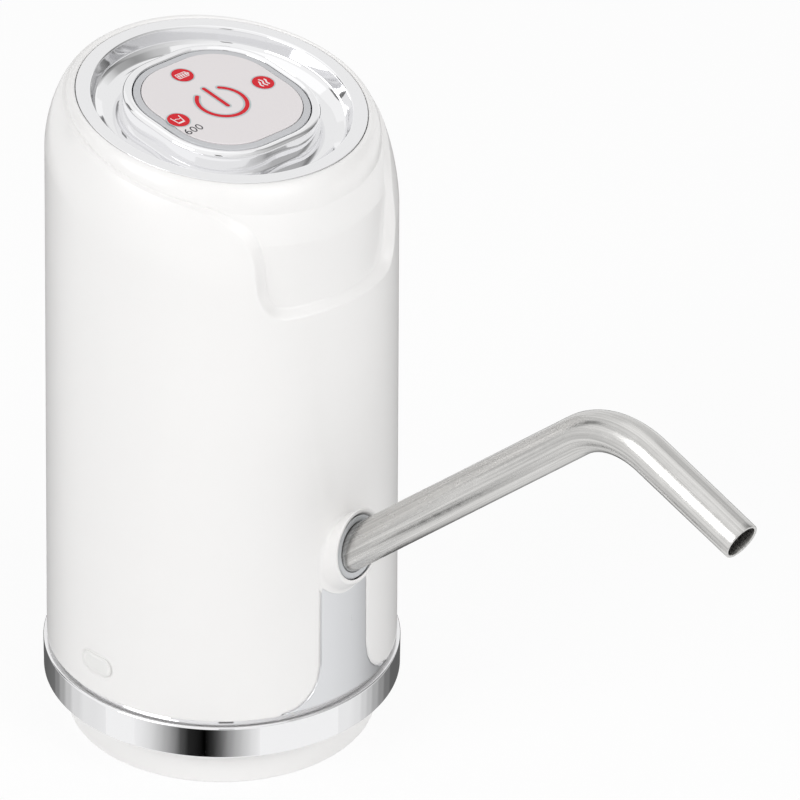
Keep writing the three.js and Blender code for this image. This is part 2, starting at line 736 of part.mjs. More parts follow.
// Top cap
const capBody = skin([
  axisPoint(LIP_Z + CREST_RISE),
  ...RIM_ROW_SHARES.map((share) =>
    ringBy((angle) => {
      const [radius, z] = shoulder(angle, edgeDrop(angle) * share);
      return [Math.min(radius - EDGE_STEP * share * share, capSkirtR), z];
    }),
  ),
  ...SKIRT_ROW_SHARES.map((share) =>
    ringBy((angle) => capFace(angle, lowerDrop(angle, share))),
  ),
  ringBy(() => [capSkirtR, capFootZ]),
  ringBy(() => [capInnerR, capFootZ]),
  ringBy((angle) => [capInnerR, slantZ(capInnerR, angle, upright(-ledgeFoot))]),
  axisPoint(slantZ(0, 0, upright(-ledgeFoot))),
]);
add(
  casingGroup,
  "top_cap",
  cut(
    capBody,
    inTop(post(dishR + GAP, ledgeTop, DISH_DEPTH, BODY_STEPS)),
    inTop(post(capLedgeR, ledgeFoot - OVERRUN, DISH_DEPTH, BODY_STEPS)),
    ...boardScrewPlaces.map((place) =>
      inTop(
        placed(
          screwHole(BOARD_SCREW, ledgeFoot - OVERRUN, boardFoot + BOARD_SCREW[3] + GAP),
          place,
        ),
      ),
    ),
  ),
  "white",
);

// A rounded square of a half-width, with a second one as its hole if given
function square(half, hole = 0) {
  const path = (made, size) => {
    const radius = size - SQUARE_CORE;
    made.absarc(SQUARE_CORE, SQUARE_CORE, radius, 0, Math.PI / 2);
    made.absarc(-SQUARE_CORE, SQUARE_CORE, radius, Math.PI / 2, Math.PI);
    made.absarc(-SQUARE_CORE, -SQUARE_CORE, radius, Math.PI, 1.5 * Math.PI);
    made.absarc(SQUARE_CORE, -SQUARE_CORE, radius, 1.5 * Math.PI, FULL_TURN);
    made.closePath();
    return made;
  };
  const shape = path(new THREE.Shape(), half);
  if (hole > 0) shape.holes.push(path(new THREE.Path(), hole));
  return shape;
}

const lipInnerR = dishR - DISH_LIP;
const frameHalf = lipInnerR - TROUGH_WIDTH;
const frameBore = frameHalf - FRAME_WIDTH;
const carrierHalf = frameBore - GAP;
const lensHalf = carrierHalf - LENS_BORDER;
const frameStep = CARRIER_FLANGE_HEIGHT - CARRIER_HEIGHT + GAP;
const floorTop = -DISH_DEPTH;
const floorFoot = floorTop - DISH_FLOOR;
const flangeTop = floorFoot - GAP;
const flangeFoot = flangeTop - FRAME_FLANGE_HEIGHT;

add(
  topGroup,
  "dish_bezel",
  cut(
    turned(
      [
        [0, floorFoot],
        [dishR - DISH_SKIRT_WALL, floorFoot],
        [dishR - DISH_SKIRT_WALL, -DISH_FOOT_DROP],
        [dishR, -DISH_FOOT_DROP],
        [dishR, -DISH_EDGE],
        [dishR - DISH_EDGE, 0],
        [lipInnerR + DISH_EDGE, 0],
        [lipInnerR, -DISH_EDGE],
        [lipInnerR - DISH_WALL_RUN, floorTop + DISH_COVE],
        [lipInnerR - DISH_WALL_RUN - DISH_COVE, floorTop],
        [0, floorTop],
      ],
      BODY_STEPS,
    ),
    pulled(square(frameHalf + GAP), floorFoot - OVERRUN, OVERRUN),
  ),
  "chrome",
);
add(
  topGroup,
  "button_frame",
  cut(
    join(
      pulled(square(frameHalf, frameBore), flangeFoot, FRAME_RISE, FRAME_EDGE),
      pulled(square(frameHalf + FRAME_FLANGE, frameBore), flangeFoot, flangeTop),
    ),
    pulled(square(carrierHalf + CARRIER_FLANGE + GAP), flangeFoot - OVERRUN, frameStep),
  ),
  "chrome",
);
const switchFoot = boardTop + GAP;
const switchTop = switchFoot + SWITCH_HEIGHT;
const wellFoot = switchTop - SWITCH_WELL;
const plungerTop = switchTop + PLUNGER_SHOW;
add(
  topGroup,
  "button_carrier",
  cut(
    join(
      pulled(square(carrierHalf), -CARRIER_HEIGHT, 0),
      pulled(
        square(carrierHalf + CARRIER_FLANGE),
        -CARRIER_HEIGHT,
        CARRIER_FLANGE_HEIGHT - CARRIER_HEIGHT,
      ),
      post(
        CARRIER_POST_R,
        plungerTop + GAP,
        CARRIER_FLANGE_HEIGHT - CARRIER_HEIGHT,
        SMALL_STEPS,
      ),
    ),
    pulled(square(lensHalf + GAP), LENS_RISE - LENS_THICKNESS - GAP, OVERRUN),
  ),
  "border",
);
add(
  topGroup,
  "button_lens",
  pulled(square(lensHalf), LENS_RISE - LENS_THICKNESS, LENS_RISE),
  "panel",
);
add(
  topGroup,
  "switch_plunger",
  post(PLUNGER_R, wellFoot + BUTTON_TRAVEL + GAP, plungerTop, SMALL_STEPS),
  "black",
);
const switchHalf = [-SWITCH_SIZE / 2, SWITCH_SIZE / 2];
add(
  topGroup,
  "power_switch",
  cut(
    block(switchHalf, switchHalf, [switchFoot, switchTop]),
    post(PLUNGER_R + GAP, wellFoot, switchTop + OVERRUN, SMALL_STEPS),
  ),
  "black",
);
add(
  topGroup,
  "control_board",
  cut(
    post(boardR, boardFoot, boardTop, RING_STEPS),
    ...boardScrewPlaces.map((place) =>
      placed(screwHole(BOARD_SCREW, boardFoot - OVERRUN, boardTop + OVERRUN), place),
    ),
  ),
  "board",
);
boardScrewPlaces.forEach(([x, y], step) => {
  const name = `board_screw_${step + 1}`;
  const mesh = add(topGroup, name, fromBelow(screwBody(BOARD_SCREW)), "nickel");
  mesh.position.set(x, y, boardFoot - GAP);
});
Object.entries(LAMP_PLACE_SHARES).forEach(([name, [x, y]]) => {
  const lamp = turned(
    [
      [0, 0],
      [LAMP_R, 0],
      [LAMP_R, LAMP_HEIGHT - LAMP_R],
      [LAMP_R * LAMP_CORNER_SHARE, LAMP_HEIGHT - LAMP_R * (1 - LAMP_CORNER_SHARE)],
      [0, LAMP_HEIGHT],
    ],
    SMALL_STEPS,
  );
  const mesh = add(topGroup, `icon_led_${name}`, lamp, "lamp");
  mesh.position.set(lensHalf * x, lensHalf * y, boardTop + GAP);
});

// Spout tube: rings along a straight, an arc and a straight, narrower towards the mouth
function spoutSkin() {
  const down = spoutMouth.clone().sub(spoutCorner).normalize();
  const turn = spoutAxis.angleTo(down);
  const reach = SPOUT_BEND_R * Math.tan(turn / 2);
  const bendStart = spoutCorner.clone().addScaledVector(spoutAxis, -reach);
  const sideways = new THREE.Vector3(1, 0, 0);
  const inward = new THREE.Vector3().crossVectors(spoutAxis, sideways);
  if (inward.dot(down) < 0) inward.negate();
  const centre = bendStart.clone().addScaledVector(inward, SPOUT_BEND_R);
  const stations = [{ at: alongSpout(-SPOUT_INSIDE), way: spoutAxis.clone() }];
  for (let step = 0; step <= SPOUT_BEND_STEPS; step += 1) {
    const angle = (turn * step) / SPOUT_BEND_STEPS;
    const out = inward.clone().multiplyScalar(-Math.cos(angle));
    out.addScaledVector(spoutAxis, Math.sin(angle));
    const way = spoutAxis.clone().multiplyScalar(Math.cos(angle));
    way.addScaledVector(inward, Math.sin(angle));
    stations.push({ at: centre.clone().addScaledVector(out, SPOUT_BEND_R), way });
  }
  stations.push({ at: spoutMouth.clone(), way: down });
  const lengths = [0];
  for (let i = 1; i < stations.length; i += 1)
    lengths.push(lengths[i - 1] + stations[i].at.distanceTo(stations[i - 1].at));
  const whole = lengths[lengths.length - 1];
  const circle = (inset) => (station, i) => {
    const share = lengths[i] / whole;
    const radius = SPOUT_START_R + (SPOUT_MOUTH_R - SPOUT_START_R) * share - inset;
    const across = new THREE.Vector3().crossVectors(station.way, sideways).normalize();
    return Array.from({ length: ROUND_STEPS }, (_, step) => {
      const angle = (FULL_TURN * step) / ROUND_STEPS;
      return station.at
        .clone()
        .addScaledVector(sideways, radius * Math.cos(angle))
        .addScaledVector(across, radius * Math.sin(angle));
    });
  };
  return skin([
    ...stations.map(circle(0)),
    ...stations.map(circle(SPOUT_WALL)).reverse(),
  ]);
}
add(spoutGroup, "spout_tube", geometryOf(solid(spoutSkin())), "steel");
add(
  spoutGroup,
  "spout_seal",
  onSpout(ring(sealR, SPOUT_START_R + GAP, -SEAL_INSIDE, SEAL_OUTSIDE, ROUND_STEPS)),
  "seal",
);
const socketBody = common(
  join(
    onSpout(post(socketR, -SOCKET_LENGTH, collarReach, ROUND_STEPS)),
    onSpout(post(barbR, -SOCKET_LENGTH - SOCKET_TAIL, 0, ROUND_STEPS)),
  ),
  post(innerR(SPOUT_ROOT_Z) - GAP, 0, LIP_Z, BODY_STEPS),
);
add(
  spoutGroup,
  "spout_socket",
  cut(
    socketBody,
    onSpout(post(collarBoreR, -SEAL_INSIDE - GAP, collarReach, ROUND_STEPS)),
    onSpout(post(barbBoreR, -SOCKET_LENGTH - SOCKET_TAIL - OVERRUN, 0, SMALL_STEPS)),
  ),
  "grey",
);

// Base band, jug collar and seal
const flangeFootZ = -GAP - BAND_FLANGE;
const neckTopZ = flangeFootZ - GAP;
const bandBoreR = BAND_R - BAND_WALL;
const neckR = bandBoreR - GAP;
const neckBoreR = neckR - NECK_WALL;
const sealRingR = neckBoreR - GAP;
const sealRingBoreR = sealRingR - SEAL_RING_WIDTH;
const baseScrewPlaces = BASE_SCREW_ANGLES.map((angle) => {
  const spot = polar(neckR - NECK_WALL / 2, angle * DEGREE, 0);
  return [spot.x, spot.y];
});
const baseScrewSeat = PLATE_THICKNESS + GAP;
const baseScrewTip = baseScrewSeat - BASE_SCREW[3];
add(
  baseGroup,
  "base_band",
  cut(
    turned(
      loop([
        [neckBoreR + GAP, flangeFootZ],
        [bandBoreR, flangeFootZ],
        [bandBoreR, BAND_FOOT_Z],
        [BAND_R - BAND_EDGE, BAND_FOOT_Z],
        [BAND_R, BAND_FOOT_Z + BAND_EDGE],
        [BAND_R, BAND_TOP_Z - BAND_EDGE],
        [BAND_R - BAND_EDGE, BAND_TOP_Z],
        [BAND_R - BAND_LIP, BAND_TOP_Z],
        [BAND_R - BAND_LIP, -GAP],
        [neckBoreR + GAP, -GAP],
      ]),
      BODY_STEPS,
    ),
    ...baseScrewPlaces.map((place) =>
      placed(screwHole(BASE_SCREW, flangeFootZ - OVERRUN, OVERRUN), place),
    ),
  ),
  "chrome",
);
add(
  baseGroup,
  "neck_collar",
  cut(
    turned(
      loop([
        [neckBoreR + NECK_EDGE, NECK_FOOT_Z],
        [neckR - NECK_EDGE, NECK_FOOT_Z],
        [neckR, NECK_FOOT_Z + NECK_EDGE],
        [neckR, neckTopZ],
        [neckBoreR, neckTopZ],
        [neckBoreR, NECK_FOOT_Z + NECK_EDGE],
      ]),
      BODY_STEPS,
    ),
    ...baseScrewPlaces.map((place) =>
      placed(screwHole(BASE_SCREW, baseScrewTip - GAP, neckTopZ + OVERRUN), place),
    ),
  ),
  "white",
);
const sealFootZ = -GAP - SEAL_RING_HEIGHT;
const sealGrooveZ = sealFootZ + SEAL_RING_GROOVE;
add(
  baseGroup,
  "neck_seal",
  turned(
    loop([
      [sealRingBoreR, -GAP],
      [sealRingBoreR, sealFootZ],
      [sealRingBoreR + SEAL_RING_LIP, sealFootZ],
      [sealRingBoreR + 2 * SEAL_RING_LIP, sealGrooveZ],
      [sealRingR - 2 * SEAL_RING_LIP, sealGrooveZ],
      [sealRingR - SEAL_RING_LIP, sealFootZ],
      [sealRingR, sealFootZ],
      [sealRingR, -GAP],
    ]),
    RING_STEPS,
  ),
  "seal",
);
const chassisSeatZ = CHASSIS_SCREW[1] + 2 * GAP;
const socketZ = [PORT_Z - SOCKET_HEIGHT / 2, PORT_Z + SOCKET_HEIGHT / 2];
const socketBackX = socketFrontX + SOCKET_DEPTH;
const chargeX = [socketFrontX + CHARGE_BOARD_SETBACK, socketBackX + CHARGE_BOARD_OVERHANG];
const chargeTop = socketZ[0] - GAP;
const chargeFoot = chargeTop - CHARGE_BOARD_THICKNESS;
const boardRib = (side) =>
  block(
    chargeX,
    [side - BOARD_RIB_WIDTH / 2, side + BOARD_RIB_WIDTH / 2],
    [PLATE_THICKNESS / 2, chargeFoot - GAP],
  );
const ribSide = CHARGE_BOARD_HALF - BOARD_RIB_WIDTH;
const saddle = alongSpout(-SOCKET_LENGTH).addScaledVector(spoutUnder, socketR);
const pumpPlace = byInside(PUMP_PLACE_SHARES);
const inletPlace = [pumpPlace[0] - PUMP_BARB_OFFSET, pumpPlace[1]];
const chassisX = [pumpPlace[0] + PUMP_R + CHASSIS_CLEARANCE];
chassisX.push(chassisX[0] + CHASSIS_THICKNESS);
const chassisY = byInside(CHASSIS_REACH_SHARES);
const feet = [
  {
    x: [chassisX[0], chassisX[0] + FOOT_REACH],
    y: [chassisY[0], chassisY[0] + FOOT_DEPTH],
  },
  {
    x: [chassisX[0] - FOOT_BACK_OVERHANG, chassisX[0] + FOOT_BACK_REACH],
    y: [chassisY[1] - FOOT_BACK_DEPTH, chassisY[1]],
  },
];
const chassisScrewPlaces = feet.map(({ x, y }) => [(x[0] + x[1]) / 2, (y[0] + y[1]) / 2]);
const plateR = innerR(PLATE_THICKNESS) - GAP;
const grooveR = sealRingBoreR - GAP;
add(
  baseGroup,
  "base_plate",
  cut(
    join(
      post(plateR, 0, PLATE_THICKNESS, BODY_STEPS),
      boardRib(ribSide),
      boardRib(-ribSide),
      block(
        [-SADDLE_WIDTH / 2, SADDLE_WIDTH / 2],
        [saddle.y - SADDLE_DEPTH / 2, saddle.y + SADDLE_DEPTH / 2],
        [PLATE_THICKNESS / 2, saddle.z - GAP],
      ),
    ),
    ring(grooveR, grooveR - DRIP_GROOVE_WIDTH, -OVERRUN, DRIP_GROOVE_DEPTH, RING_STEPS),
    placed(post(INLET_R + GAP, -OVERRUN, PLATE_THICKNESS + OVERRUN, ROUND_STEPS), inletPlace),
    ...baseScrewPlaces.map((place) =>
      placed(screwHole(BASE_SCREW, -OVERRUN, PLATE_THICKNESS + OVERRUN), place),
    ),
    ...chassisScrewPlaces.flatMap((place) => [
      placed(screwHole(CHASSIS_SCREW, -OVERRUN, PLATE_THICKNESS + OVERRUN), place),
      placed(post(CHASSIS_SCREW[0] + GAP, -OVERRUN, chassisSeatZ, SMALL_STEPS), place),
    ]),
  ),
  "grey",
);
baseScrewPlaces.forEach(([x, y], step) => {
  const mesh = add(baseGroup, `base_screw_${step + 1}`, screwBody(BASE_SCREW), "nickel");
  mesh.position.set(x, y, baseScrewSeat);
});

// Inlet fitting: a flange on the plate, a short barb above it and a ridged tail below
const inletFlangeZ = PLATE_THICKNESS + GAP;
const ridges = Array.from({ length: INLET_RIDGE_COUNT }, (_, step) => {
  const z = INLET_FOOT_Z + INLET_RIDGE_LENGTH * step;
  return [
    [INLET_R - INLET_RIDGE, z],
    [INLET_R, z + INLET_RIDGE_LENGTH - INLET_RIDGE],
  ];
}).flat();
add(
  baseGroup,
  "inlet_barb",
  turned(
    loop([
      [INLET_BORE_R, INLET_FOOT_Z],
      ...ridges,
      [INLET_R, inletFlangeZ],
      [INLET_FLANGE_R, inletFlangeZ],
      [INLET_FLANGE_R, inletFlangeZ + INLET_FLANGE],
      [barbR, inletFlangeZ + INLET_FLANGE],
      [barbR, INLET_TOP_Z],
      [barbBoreR, INLET_TOP_Z],
      [barbBoreR, inletFlangeZ],
    ]),
    ROUND_STEPS,
  ),
  "grey",
).position.set(...inletPlace, 0);

// Diaphragm pump, from the head up
const headTop = PUMP_FOOT_Z + HEAD_HEIGHT;
const valveFoot = headTop + GAP;
const valveTop = valveFoot + VALVE_PLATE_HEIGHT;
const diaphragmFoot = valveTop + GAP;
const diaphragmTop = diaphragmFoot + DIAPHRAGM_HEIGHT;
const caseFoot = diaphragmTop + GAP;
const caseTop = caseFoot + PUMP_CASE_HEIGHT;
pumpGroup.position.set(...pumpPlace, 0);
const pumpScrewPlaces = PUMP_SCREW_ANGLES.map((angle) => {
  const spot = polar(PUMP_R - PUMP_SCREW_INSET, angle * DEGREE, 0);
  return [spot.x, spot.y];
});
const pumpScrewSeat = PUMP_FOOT_Z - GAP;
const pumpScrewTip = pumpScrewSeat + PUMP_SCREW[3];
const pumpHoles = (high) =>
  pumpScrewPlaces.map((place) =>
    placed(screwHole(PUMP_SCREW, PUMP_FOOT_Z - OVERRUN, high), place),
  );
const barbFoot = PUMP_FOOT_Z - PUMP_BARB_LENGTH;
const barbSides = [-PUMP_BARB_OFFSET, PUMP_BARB_OFFSET];
add(
  pumpGroup,
  "pump_head",
  cut(
    join(
      post(PUMP_R, PUMP_FOOT_Z, headTop, RING_STEPS),
      ...barbSides.map((x) =>
        placed(post(barbR, barbFoot, PUMP_FOOT_Z + OVERRUN, ROUND_STEPS), [x, 0]),
      ),
    ),
    ...barbSides.map((x) =>
      placed(post(barbBoreR, barbFoot - OVERRUN, headTop + OVERRUN, SMALL_STEPS), [x, 0]),
    ),
    ...pumpHoles(headTop + OVERRUN),
  ),
  "black",
);
add(
  pumpGroup,
  "valve_plate",
  cut(
    post(PUMP_R, valveFoot, valveTop, RING_STEPS),
    ...barbSides.map((x) =>
      placed(post(VALVE_HOLE_R, valveFoot - OVERRUN, valveTop + OVERRUN, SMALL_STEPS), [x, 0]),
    ),
    ...pumpHoles(valveTop + OVERRUN),
  ),
  "port",
);
add(
  pumpGroup,
  "diaphragm",
  cut(
    join(
      post(PUMP_R, diaphragmFoot, diaphragmTop, RING_STEPS),
      ...DIAPHRAGM_CUP_ANGLES.map((angle) => {
        const spot = polar(DIAPHRAGM_CUP_OFFSET, angle * DEGREE, 0);
        const cup = post(
          DIAPHRAGM_CUP_R,
          diaphragmFoot,
          diaphragmTop + DIAPHRAGM_CUP_RISE,
          SMALL_STEPS,
        );
        return placed(cup, [spot.x, spot.y]);
      }),
    ),
    ...pumpHoles(diaphragmTop + OVERRUN),
  ),
  "seal",
);
const caseBoreR = PUMP_R - PUMP_CASE_WALL;
add(
  pumpGroup,
  "pump_case",
  cut(
    turned(
      loop([
        [caseBoreR, caseFoot],
        [PUMP_R, caseFoot],
        [PUMP_R, caseTop],
        [PUMP_CASE_HOLE_R, caseTop],
        [PUMP_CASE_HOLE_R, caseTop - PUMP_CASE_ROOF],
        [caseBoreR, caseTop - PUMP_CASE_ROOF],
      ]),
      RING_STEPS,
    ),
    ...pumpHoles(pumpScrewTip + GAP),
  ),
  "black",
);
pumpScrewPlaces.forEach(([x, y], step) => {
  const name = `pump_screw_${step + 1}`;
  const mesh = add(pumpGroup, name, fromBelow(screwBody(PUMP_SCREW)), "nickel");
  mesh.position.set(x, y, pumpScrewSeat);
});
const wobbleFoot = diaphragmTop + WOBBLE_LIFT;
const wobbleTop = wobbleFoot + WOBBLE_HEIGHT;
const wobblePin = placed(
  post(WOBBLE_PIN_R, wobbleFoot, wobbleTop + WOBBLE_PIN_LENGTH, SMALL_STEPS),
  [WOBBLE_PIN_OFFSET, 0],
);
add(
  pumpGroup,
  "wobble_plate",
  join(post(caseBoreR - WOBBLE_CLEARANCE, wobbleFoot, wobbleTop, ROUND_STEPS), wobblePin),
  "port",
);
const hubFoot = wobbleTop + HUB_LIFT;
const hubTop = hubFoot + HUB_HEIGHT;
const shaftFoot = hubFoot + HUB_WELL + GAP;
add(
  pumpGroup,
  "eccentric_hub",
  turned(
    loop([
      [HUB_WELL_R, hubFoot],
      [HUB_R, hubFoot],
      [HUB_R, hubTop],
      [SHAFT_R + GAP, hubTop],
      [SHAFT_R + GAP, hubFoot + HUB_WELL],
      [HUB_WELL_R, hubFoot + HUB_WELL],
    ]),
    ROUND_STEPS,
  ),
  "grey",
);

// Motor over the pump
const canFoot = caseTop + GAP;
const canTop = canFoot + MOTOR_HEIGHT;
const motorR = PUMP_R - MOTOR_STEP;
const canBoreR = motorR - MOTOR_WALL;
const magnetR = canBoreR - MAGNET_GAP;
const armatureR = magnetR - MAGNET_THICKNESS - AIR_GAP;
add(
  pumpGroup,
  "motor_can",
  turned(
    loop([
      [SHAFT_R + GAP, canFoot],
      [motorR, canFoot],
      [motorR, canTop],
      [canBoreR, canTop],
      [canBoreR, canFoot + MOTOR_FLOOR],
      [SHAFT_R + GAP, canFoot + MOTOR_FLOOR],
    ]),
    RING_STEPS,
  ),
  "nickel",
);
const armatureFoot = canFoot + ARMATURE_LIFT;
const armatureTop = armatureFoot + ARMATURE_HEIGHT;
const plugFoot = canTop - END_CAP_PLUG;
const capFoot = canTop + GAP;
const slots = Array.from({ length: ARMATURE_POLES }, (_, step) =>
  block(
    [-ARMATURE_SLOT / 2, ARMATURE_SLOT / 2],
    [armatureR - ARMATURE_SLOT_DEPTH, armatureR + OVERRUN],
    [armatureFoot - OVERRUN, armatureTop + OVERRUN],
  ).rotateZ((FULL_TURN * step) / ARMATURE_POLES),
);
add(
  pumpGroup,
  "motor_rotor",
  join(
    cut(post(armatureR, armatureFoot, armatureTop, ROUND_STEPS), ...slots),
    post(COMMUTATOR_R, armatureTop, armatureTop + COMMUTATOR_HEIGHT, SMALL_STEPS),
    post(SHAFT_R, shaftFoot, canTop + END_CAP_WELL - GAP, SMALL_STEPS),
  ),
  "copper",
);
[1, 2].forEach((side) => {
  const half = MAGNET_HALF_ANGLE * DEGREE;
  const shape = new THREE.Shape();
  shape.absarc(0, 0, magnetR, -half, half);
  shape.absarc(0, 0, magnetR - MAGNET_THICKNESS, half, -half, true);
  shape.closePath();
  const magnet = pulled(shape, armatureFoot, armatureTop).rotateZ(Math.PI * side);
  add(pumpGroup, `motor_magnet_${side}`, magnet, "magnet");
});
const terminal = (side) =>
  block(
    [-TERMINAL_SIZE[0] / 2, TERMINAL_SIZE[0] / 2],
    [
      side * TERMINAL_OFFSET - TERMINAL_SIZE[1] / 2,
      side * TERMINAL_OFFSET + TERMINAL_SIZE[1] / 2,
    ],
    [capFoot, capFoot + END_CAP_FLANGE + TERMINAL_SIZE[2]],
  );
add(
  pumpGroup,
  "motor_end_cap",
  join(
    turned(
      loop([
        [SHAFT_R + GAP, plugFoot],
        [canBoreR - GAP, plugFoot],
        [canBoreR - GAP, capFoot],
        [motorR, capFoot],
        [motorR, capFoot + END_CAP_FLANGE],
        [0, capFoot + END_CAP_FLANGE],
        [0, canTop + END_CAP_WELL],
        [SHAFT_R + GAP, canTop + END_CAP_WELL],
      ]),
      RING_STEPS,
    ),
    terminal(1),
    terminal(-1),
  ),
  "black",
);

// Hoses: a ring drawn along a line
function hose(path, steps) {
  const shape = new THREE.Shape();
  shape.absarc(0, 0, HOSE_BORE_R + HOSE_WALL, 0, FULL_TURN);
  const bore = new THREE.Path();
  bore.absarc(0, 0, HOSE_BORE_R, 0, FULL_TURN);
  shape.holes.push(bore);
  return new THREE.ExtrudeGeometry(shape, {
    steps,
    extrudePath: path,
    curveSegments: HOSE_SIDE_STEPS,
    bevelEnabled: false,
  });
}
const pumpBarb = (side, z) =>
  new THREE.Vector3(pumpPlace[0] + side * PUMP_BARB_OFFSET, pumpPlace[1], z);
add(
  baseGroup,
  "inlet_hose",
  hose(
    new THREE.LineCurve3(
      new THREE.Vector3(...inletPlace, inletFlangeZ + INLET_FLANGE + HOSE_CLEAR_END),
      pumpBarb(-1, PUMP_FOOT_Z - HOSE_CLEAR_END),
    ),
    1,
  ),
  "hose",
);
const tailEnd = SOCKET_LENGTH + SOCKET_TAIL;
const hoseWay = new THREE.CurvePath();
const leave = alongSpout(-tailEnd);
const arrive = pumpBarb(1, barbFoot);
hoseWay.add(
  new THREE.LineCurve3(alongSpout(-SOCKET_LENGTH - HOSE_CLEAR_END), leave),
);
hoseWay.add(
  new THREE.CubicBezierCurve3(
    leave,
    alongSpout(-tailEnd - SOCKET_TAIL),
    pumpBarb(1, barbFoot - SOCKET_TAIL),
    arrive,
  ),
);
hoseWay.add(new THREE.LineCurve3(arrive, pumpBarb(1, PUMP_FOOT_Z - HOSE_CLEAR_END)));
add(spoutGroup, "outlet_hose", hose(hoseWay, HOSE_BEND_STEPS), "hose");

// Battery, contacts and chassis
const contactFoot = PLATE_THICKNESS + GAP;
const batteryFoot = contactFoot + CONTACT_THICKNESS + GAP;
const batteryTop = batteryFoot + BATTERY_LENGTH;
const batteryPlace = byInside(BATTERY_PLACE_SHARES);
const topContactFoot = batteryTop + GAP;
const roofFoot = topContactFoot + CONTACT_THICKNESS + GAP;
const roofTop = roofFoot + CHASSIS_ROOF;
add(
  powerGroup,
  "battery_cell",
  turned(
    [
      [0, batteryFoot],
      [BATTERY_R - BATTERY_EDGE, batteryFoot],
      [BATTERY_R, batteryFoot + BATTERY_EDGE],
      [BATTERY_R, batteryTop - BATTERY_NUB - BATTERY_EDGE],
      [BATTERY_R - BATTERY_EDGE, batteryTop - BATTERY_NUB],
      [BATTERY_NUB_R, batteryTop - BATTERY_NUB],
      [BATTERY_NUB_R, batteryTop],
      [0, batteryTop],
    ],
    ROUND_STEPS,
  ),
  "cell",
).position.set(...batteryPlace, 0);
const contactReach = BATTERY_R - CONTACT_INSET;
const contactHalf = [-contactReach, contactReach];
[
  ["bottom", contactFoot],
  ["top", topContactFoot],
].forEach(([name, z]) => {
  const plate = block(contactHalf, contactHalf, [0, CONTACT_THICKNESS]);
  const mesh = add(powerGroup, `battery_contact_${name}`, plate, "nickel");
  mesh.position.set(...batteryPlace, z);
});
const chassisFoot = PLATE_THICKNESS + GAP;
const footZ = [chassisFoot, chassisFoot + FOOT_HEIGHT];
const motorRingFoot = canFoot + MOTOR_RING_LIFT;
const motorRingR = motorR + GAP + MOTOR_RING_WALL;
const batteryRingR = BATTERY_R + GAP + BATTERY_RING_WALL;
const batteryRingLevels = BATTERY_RING_LEVEL_SHARES.map((share) => {
  const z = batteryFoot + BATTERY_LENGTH * share;
  return [z, z + BATTERY_RING_HEIGHT];
});
const webY = [-1, 1].map((side) => batteryPlace[1] + (side * BATTERY_RING_WEB) / 2);
const chassisScrewTip = chassisSeatZ - GAP + CHASSIS_SCREW[3];
add(
  powerGroup,
  "chassis",
  cut(
    join(
      block(chassisX, chassisY, [chassisFoot, roofTop]),
      ...feet.map(({ x, y }) => block(x, y, footZ)),
      placed(
        post(motorRingR, motorRingFoot, motorRingFoot + MOTOR_RING_HEIGHT, RING_STEPS),
        pumpPlace,
      ),
      ...batteryRingLevels.flatMap((level) => [
        placed(post(batteryRingR, ...level, RING_STEPS), batteryPlace),
        block([chassisX[0], batteryPlace[0]], webY, level),
      ]),
      block(
        [chassisX[0], batteryPlace[0] + contactReach],
        [batteryPlace[1] - contactReach, batteryPlace[1] + contactReach],
        [roofFoot, roofTop],
      ),
    ),
    placed(post(motorR + GAP, 0, LIP_Z, RING_STEPS), pumpPlace),
    placed(post(BATTERY_R + GAP, 0, batteryTop, RING_STEPS), batteryPlace),
    ...chassisScrewPlaces.map((place) =>
      placed(screwHole(CHASSIS_SCREW, 0, chassisScrewTip + GAP), place),
    ),
  ),
  "grey",
);
chassisScrewPlaces.forEach(([x, y], step) => {
  const name = `chassis_screw_${step + 1}`;
  const mesh = add(powerGroup, name, fromBelow(screwBody(CHASSIS_SCREW)), "nickel");
  mesh.position.set(x, y, chassisSeatZ - GAP);
});

// Charging board and socket behind the port
const portY = polar(wallR(PORT_Z), PORT_ANGLE * DEGREE, 0).y;
add(
  powerGroup,
  "charge_board",
  block(chargeX, [-CHARGE_BOARD_HALF, CHARGE_BOARD_HALF], [chargeFoot, chargeTop]),
  "board",
);
const socketY = [portY - SOCKET_WIDTH / 2, portY + SOCKET_WIDTH / 2];
const inset = ([low, high]) => [low + SOCKET_WALL, high - SOCKET_WALL];
add(
  powerGroup,
  "usb_socket",
  join(
    cut(
      block([socketFrontX, socketBackX], socketY, socketZ),
      block(
        [socketFrontX - OVERRUN, socketBackX - SOCKET_FLOOR],
        inset(socketY),
        inset(socketZ),
      ),
    ),
    block(
      [socketFrontX + SOCKET_TONGUE_SETBACK, socketBackX - SOCKET_FLOOR / 2],
      [portY - SOCKET_TONGUE_WIDTH / 2, portY + SOCKET_TONGUE_WIDTH / 2],
      [PORT_Z - SOCKET_TONGUE / 2, PORT_Z + SOCKET_TONGUE / 2],
    ),
  ),
  "nickel",
);

const pump = new THREE.Group();
pump.name = "jug_pump";
pump.add(casingGroup, topGroup, spoutGroup, baseGroup, pumpGroup, powerGroup);

export default pump;
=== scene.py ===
"""Looks of the electric jug pump, laid over its CAD frame.

Tables hold millimetres, which piece() turns into metres. z runs up the body's axis, and the spout
points towards -y. Angles round the body start at the spout and grow towards +x.
"""

import json
import math

import bpy
import numpy as np
from mathutils import Matrix, Vector


